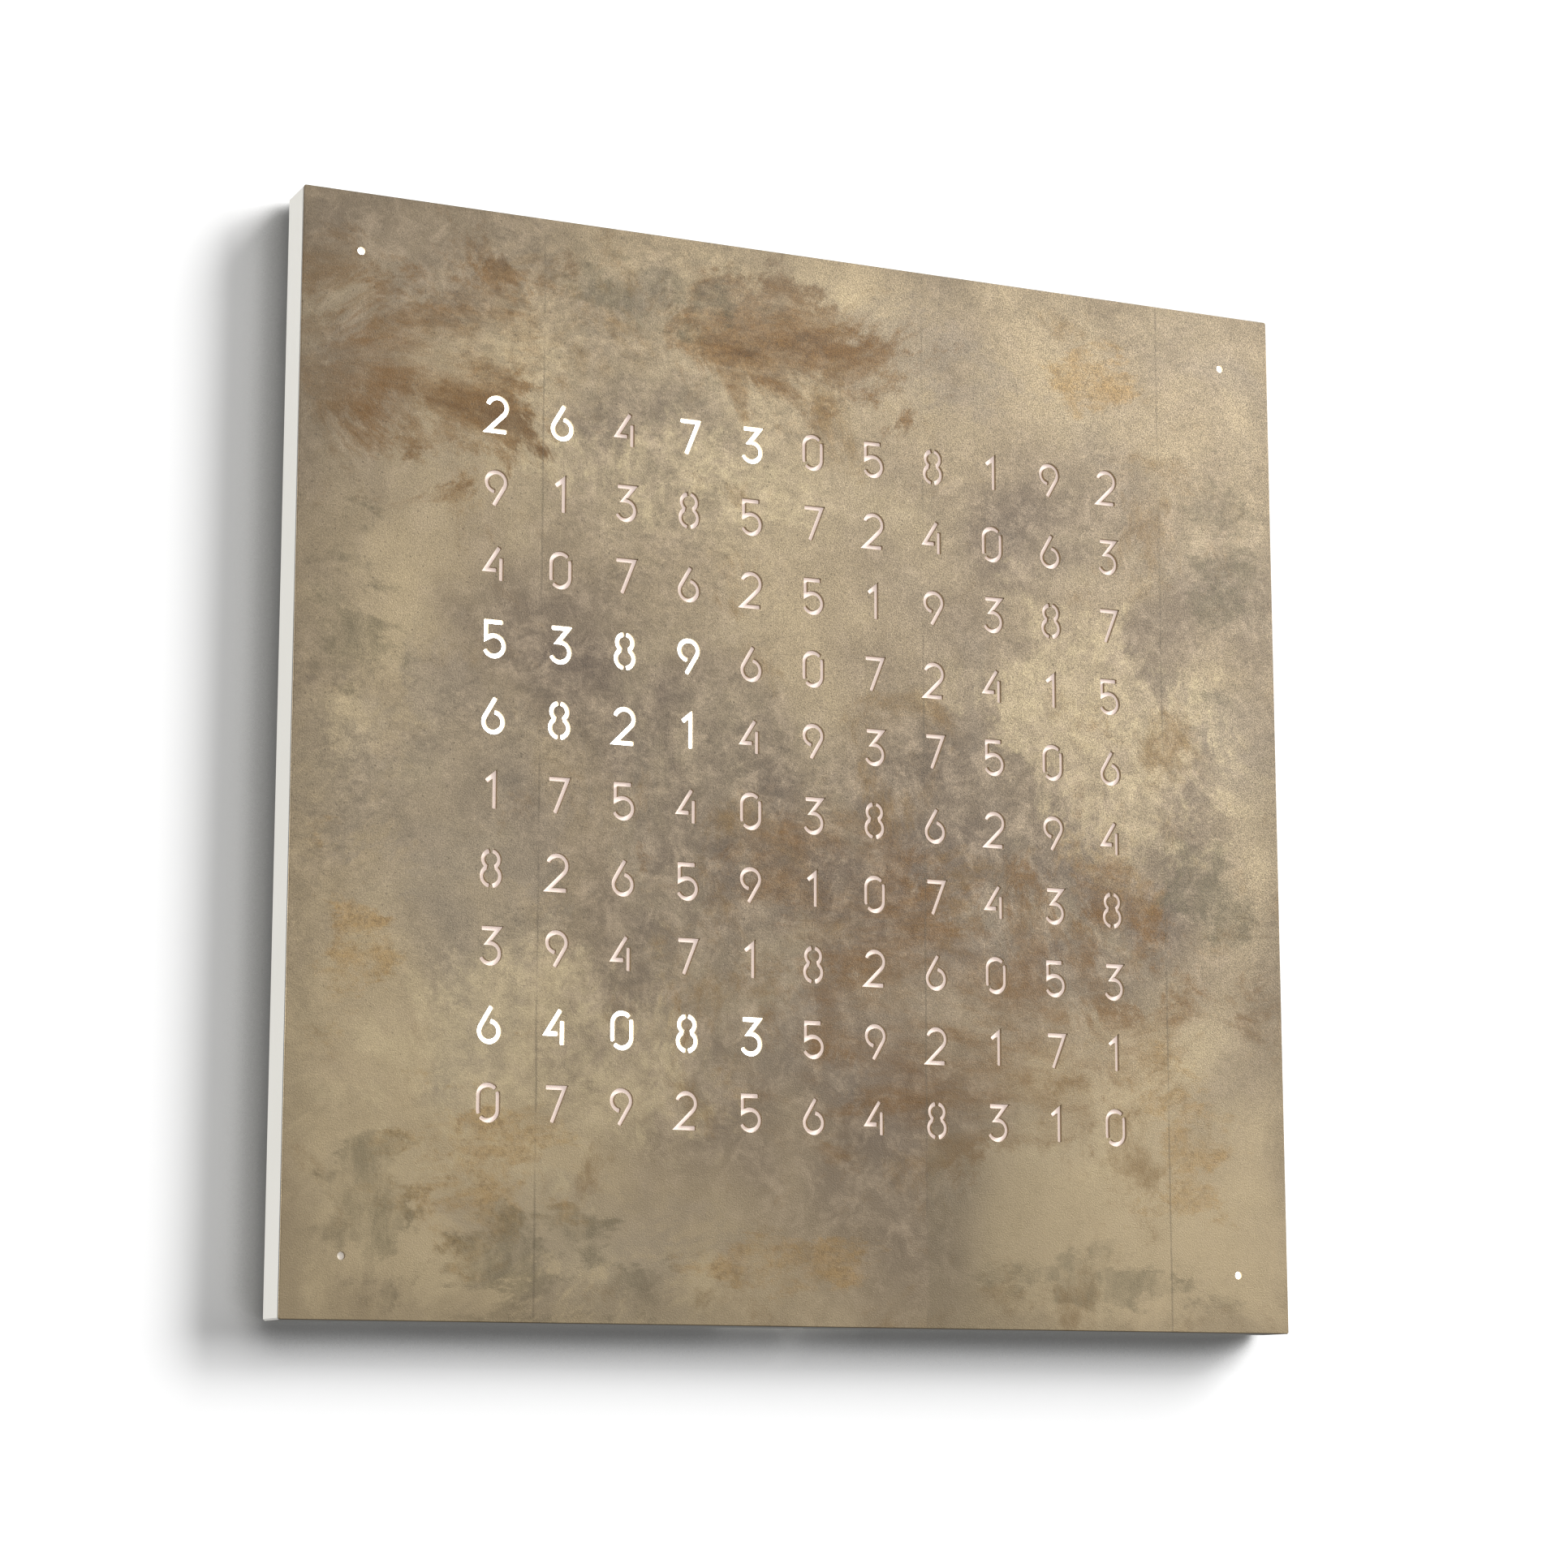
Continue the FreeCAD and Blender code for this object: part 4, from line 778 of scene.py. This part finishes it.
def bare_steel():
    """The sides and back of the cover: steel brushed from side to side."""
    f = Finish("bare_steel", roughness=0.38, metallic=0.9)
    lines = f.noise(700, 4, 0.6, 0.0, f.moved((0, 0, 0), (0.03, 1, 1)))
    f.put(base_color=f.mix(lines, tone("A9A7A2"), tone("D8D6D0")))
    f.put(normal=f.bump(lines, 0.15))
    return f.material


def opal():
    """The opal sheet where it isn't lit, with a faint painted glow that stands in for light from its
    neighbours.
    """
    f = Finish("opal_acrylic", roughness=0.45)
    soft = f.noise(60, 3)
    f.put(base_color=f.mix(soft, tone("DDCDC4"), tone("E4D5CC")))
    # painted glow: a faint emission keeps the unlit sheet evenly pale inside the cuts
    f.put(emission_color=tone("E9D6CE"), emission_strength=0.62)
    f.put(normal=f.bump(f.noise(2500, 2), 0.1))
    return f.material


def lit_opal():
    """The opal sheet in front of a light."""
    f = Finish("lit_opal", roughness=0.45)
    f.put(base_color=f.mix(f.noise(60, 3), tone("F8F6F2"), tone("FFFFFF")))
    f.put(emission_color=tone("FFFDFA"), emission_strength=5.0)
    f.material.cycles.emission_sampling = "NONE"
    return f.material


def lacquer():
    """The smooth off-white lacquer of the housing."""
    f = Finish("housing_lacquer", roughness=0.38)
    f.put(base_color=f.mix(f.noise(14, 3), tone("C9C7C0"), tone("D0CEC8")))
    f.put(normal=f.bump(f.noise(900, 2), 0.08))
    return f.material


def plain(name, first, second, roughness, metallic, scale, strength):
    """A finish of two near tones in a fine pattern, with a slight unevenness."""
    f = Finish(name, roughness, metallic)
    pattern = f.noise(scale, 4, 0.6)
    f.put(base_color=f.mix(pattern, tone(first), tone(second)))
    f.put(normal=f.bump(pattern, strength))
    return f.material


# two tones, roughness, metallic, scale of the pattern, strength of its unevenness
PLAIN_FINISHES = {
    "rear_sheet": ("C9C9C5", "D2D2CE", 0.5, 0.0, 1200, 0.2),
    "zinc_screws": ("B4B5B6", "CFD0D0", 0.3, 0.9, 900, 0.1),
    "brass_inserts": ("B8964F", "D3B36C", 0.3, 0.9, 900, 0.1),
    "spacer_rubber": ("161616", "222222", 0.8, 0.0, 1500, 0.3),
    "magnet_nickel": ("B9B8B4", "D4D3CF", 0.2, 0.95, 500, 0.05),
    "chamber_white": ("EDEDEA", "F4F4F2", 0.55, 0.0, 400, 0.05),
    "white_circuit_board": ("E6E6E1", "EFEFEB", 0.4, 0.0, 600, 0.1),
    "green_circuit_board": ("0F4A28", "175C34", 0.35, 0.0, 600, 0.1),
    "led_packages": ("F1E7A4", "F6EFC0", 0.3, 0.0, 1500, 0.05),
    "black_package": ("1C1C1D", "2A2A2B", 0.5, 0.0, 1500, 0.2),
    "bright_steel": ("BEBEBC", "D8D8D6", 0.25, 0.95, 700, 0.05),
    "dark_ferrite": ("2C2B2C", "3C3A3A", 0.6, 0.1, 1200, 0.3),
    "capacitor_sleeve": ("15203A", "1E2C4D", 0.35, 0.0, 400, 0.05),
    "black_plastic": ("191919", "242424", 0.45, 0.0, 1200, 0.2),
    "connector_white": ("E3DFD2", "EEEBE0", 0.45, 0.0, 700, 0.05),
    "button_plastic": ("8E8E8B", "9C9C98", 0.4, 0.0, 1200, 0.1),
    "copper_winding": ("A8622E", "C98045", 0.35, 0.8, 2500, 0.4),
    "lead_sleeve": ("222226", "303036", 0.5, 0.0, 900, 0.1),
    "ribbon_grey": ("9B9DA1", "B4B6BA", 0.5, 0.0, 900, 0.1),
}


def clear_guide():
    """The clear light guides, with a faint painted glow in them that keeps the dark one pale."""
    f = Finish("clear_guide", roughness=0.2)
    f.put(base_color=f.mix(f.noise(200, 2), tone("DDD7CA"), tone("E8E2D8")))
    # painted glow: the guides glow faintly even where no light is behind them
    f.put(emission_color=tone("EDE3DA"), emission_strength=0.35)
    return f.material


# ---- wall, floor, lights and camera ----


def wall_material():
    """White from the room, with a shadow painted into its colour close to the clock; from behind the
    wall it isn't there.
    """
    f = Finish("wall_paint", roughness=0.9)
    open_wall = f.mix(f.noise(2, 2), tone("FBFBFB"), tone("FDFDFD"))
    towards = f.node("ShaderNodeCombineXYZ", dict(zip("XYZ", PAINTED_SHADOW_NORMAL))).outputs[0]
    sockets = {"Distance": PAINTED_SHADOW_REACH, "Normal": towards}
    # painted shadow: where the clock is close, ambient occlusion turns the wall's colour to grey
    painted_shadow_ao = f.node("ShaderNodeAmbientOcclusion", sockets, samples=8).outputs["AO"]
    f.put(base_color=f.mix(f.between(painted_shadow_ao, 0.42, 0.8), tone("A4A4A4"), open_wall))
    f.shader.inputs["Specular IOR Level"].default_value = 0
    behind = f.tree.nodes.new("ShaderNodeNewGeometry").outputs["Backfacing"]
    clear = f.tree.nodes.new("ShaderNodeBsdfTransparent").outputs[0]
    choice = f.node("ShaderNodeMixShader", {"Fac": behind})
    f.tree.links.new(f.shader.outputs[0], choice.inputs[1])
    f.tree.links.new(clear, choice.inputs[2])
    f.tree.links.new(choice.outputs[0], f.tree.nodes["Material Output"].inputs["Surface"])
    return f.material


def floor_material():
    f = Finish("floor_paint", roughness=0.8)
    f.put(base_color=f.mix(f.noise(3, 2), tone("F0EFEC"), tone("F4F3F1")))
    return f.material


def sheet_of_room(name, corners, material):
    """A flat sheet that only the camera sees."""
    mesh = bpy.data.meshes.new(name)
    mesh.from_pydata(corners, [], [(0, 1, 2, 3)])
    mesh.materials.append(material)
    sheet = bpy.data.objects.new(name, mesh)
    bpy.context.scene.collection.objects.link(sheet)
    for kind in ("diffuse", "glossy", "transmission", "shadow"):
        setattr(sheet, f"visible_{kind}", False)


def room():
    """A white wall behind the clock and a pale floor below it."""
    corners = [(a * ROOM_HALF, b * ROOM_HALF) for a, b in ((-1, -1), (1, -1), (1, 1), (-1, 1))]
    sheet_of_room("wall", [(x, WALL_PLACE, z) for x, z in corners], wall_material())
    sheet_of_room("floor", [(x, y, FLOOR_PLACE) for x, y in corners], floor_material())


def sun(name, towards, strength, spread):
    """A distant light whose rays come from the direction given."""
    data = bpy.data.lights.new(name, "SUN")
    data.energy, data.angle = strength, math.radians(spread)
    lamp = bpy.data.objects.new(name, data)
    lamp.rotation_euler = Vector(towards).to_track_quat("Z", "Y").to_euler()
    bpy.context.scene.collection.objects.link(lamp)


def studio():
    """Two soft lights from the upper right, a fill along the wall from the left, weaker fills from
    the front and from behind, and a pale room that lights the clock only a little."""
    world = bpy.data.worlds.new("studio")
    world.use_nodes = True
    tree = world.node_tree
    tree.nodes["Background"].inputs["Color"].default_value = (1, 1, 1, 1)
    seen = tree.nodes.new("ShaderNodeLightPath").outputs["Is Camera Ray"]
    strength = tree.nodes.new("ShaderNodeMapRange")
    strength.inputs["To Min"].default_value = ROOM_LIGHT
    tree.links.new(seen, strength.inputs["Value"])
    tree.links.new(strength.outputs[0], tree.nodes["Background"].inputs["Strength"])
    bpy.context.scene.world = world
    for name, values in SUNS.items():
        sun(name, *values)
    bpy.context.scene.view_settings.view_transform = "Standard"


def camera():
    """A camera at the photograph's point of view."""
    data = bpy.data.cameras.new("photo_view")
    data.lens, data.sensor_width = CAMERA_LENS, CAMERA_SENSOR
    view = bpy.data.objects.new("photo_view", data)
    view.location = CAMERA_PLACE
    view.rotation_euler = (math.radians(90 + CAMERA_PITCH), 0, math.radians(-CAMERA_YAW))
    bpy.context.scene.collection.objects.link(view)
    bpy.context.scene.camera = view


# ---- putting it together ----


def dress_cad_nodes(finishes):
    """Gives each CAD node the finish of its material slot in the record."""
    slots = {part["node"]: part["material_slot"] for part in frame["record"]["subparts"]}
    for node, piece in frame["nodes"].items():
        for place in piece.material_slots:
            place.link = "OBJECT"
            place.material = finishes[slots[node]]


finishes = {name: plain(name, *values) for name, values in PLAIN_FINISHES.items()}
finishes["lacquered_housing"] = lacquer()
finishes["opal_diffuser"] = opal()
finishes["clear_guide"] = clear_guide()
finishes["patinated_cover"] = patina()
lit = lit_opal()

dress_cad_nodes(finishes)
front_cover(finishes["patinated_cover"], bare_steel(), cut_edge())
diffuser(finishes["opal_diffuser"], lit)
light_guides(finishes["clear_guide"], lit)
rear_screws(finishes["zinc_screws"])
wall_pads(finishes["spacer_rubber"])
for name in ("mode", "plus", "minus"):
    button_cap(name, finishes["button_plastic"])
jack_pin(finishes["bright_steel"])
for node, width in ROUNDED_EDGES.items():
    soften(node, width)

room()
studio()
camera()
